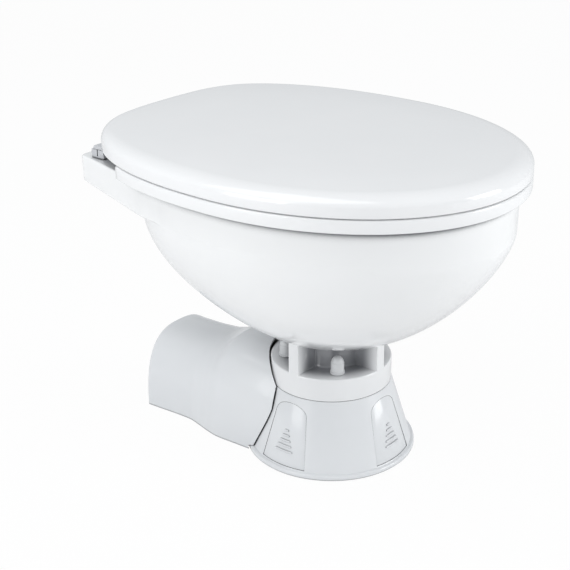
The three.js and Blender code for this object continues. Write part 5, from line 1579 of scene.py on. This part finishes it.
# Studio
# A white floor that runs out of sight and white surroundings, with three broad soft lamps: overhead, on
# the left and at the front right. The camera looks down on the bowl from its front left.
scene = bpy.context.scene
scene.view_settings.view_transform = "Standard"
world = bpy.data.worlds.new("white_room")
scene.world = world
world.use_nodes = True
nodes, links = world.node_tree.nodes, world.node_tree.links
nodes.clear()
room_light = nodes.new("ShaderNodeBackground")
room_light.inputs["Color"].default_value = (0.95, 0.975, 1.0, 1.0)
room_light.inputs["Strength"].default_value = 0.6
seen = nodes.new("ShaderNodeBackground")
seen.inputs["Color"].default_value = (1.0, 1.0, 1.0, 1.0)
seen.inputs["Strength"].default_value = 1.0
ray = nodes.new("ShaderNodeLightPath")
choose = nodes.new("ShaderNodeMixShader")
links.new(ray.outputs["Is Camera Ray"], choose.inputs["Fac"])
links.new(room_light.outputs[0], choose.inputs[1])
links.new(seen.outputs[0], choose.inputs[2])
links.new(choose.outputs[0], nodes.new("ShaderNodeOutputWorld").inputs["Surface"])

floor_mesh = bpy.data.meshes.new("floor")
floor_mesh.from_pydata([(-20, -20, 0), (20, -20, 0), (20, 20, 0), (-20, 20, 0)], [], [(0, 1, 2, 3)])
floor = bpy.data.objects.new("floor", floor_mesh)
scene.collection.objects.link(floor)
camera_share = 0.95
glossy_share = 0.15
floor_paint, shader = principled("white_floor", (0.86, 0.86, 0.86), 0.9)
nodes, links = floor_paint.node_tree.nodes, floor_paint.node_tree.links
glow = nodes.new("ShaderNodeEmission")
glow.inputs["Strength"].default_value = 1.0
ray = nodes.new("ShaderNodeLightPath")
share = nodes.new("ShaderNodeMath")
share.operation = "MULTIPLY_ADD"
share.inputs[1].default_value = camera_share
dimmer = nodes.new("ShaderNodeMath")
dimmer.operation = "MULTIPLY"
dimmer.inputs[1].default_value = glossy_share
choose = nodes.new("ShaderNodeMixShader")
links.new(ray.outputs["Is Glossy Ray"], dimmer.inputs[0])
links.new(dimmer.outputs[0], share.inputs[2])
links.new(ray.outputs["Is Camera Ray"], share.inputs[0])
links.new(share.outputs[0], choose.inputs["Fac"])
links.new(shader.outputs[0], choose.inputs[1])
links.new(glow.outputs[0], choose.inputs[2])
links.new(choose.outputs[0], nodes["Material Output"].inputs["Surface"])
floor_mesh.materials.append(floor_paint)


def lamp(name, place, size, power):
    """A soft lamp that faces the bowl."""
    light = bpy.data.lights.new(name, "AREA")
    light.shape = "RECTANGLE"
    light.size, light.size_y = size
    light.energy = power
    thing = bpy.data.objects.new(name, light)
    scene.collection.objects.link(thing)
    thing.location = place
    thing.rotation_euler = (Vector((0, 0, 0.2)) - Vector(place)).to_track_quat("-Z", "Y").to_euler()


lamp("overhead", (-0.6, 0.25, 1.7), (1.3, 1.3), 8.0)
lamp("left_window", (-1.9, 0.4, 0.8), (1.0, 1.3), 11.5)
lamp("front_right", (0.9, -1.8, 0.7), (0.9, 1.2), 18.0)

camera = bpy.data.cameras.new("camera")
camera.lens = 79.29
camera.sensor_width = 36.0
camera.shift_x = -0.05
camera.shift_y = -0.031
viewer = bpy.data.objects.new("camera", camera)
scene.collection.objects.link(viewer)
viewer.location = (-0.9811, -0.7632, 0.7164)
viewer.rotation_euler = (Vector((0, 0.0061, 0.2)) - viewer.location).to_track_quat("-Z", "Y").to_euler()
scene.camera = viewer
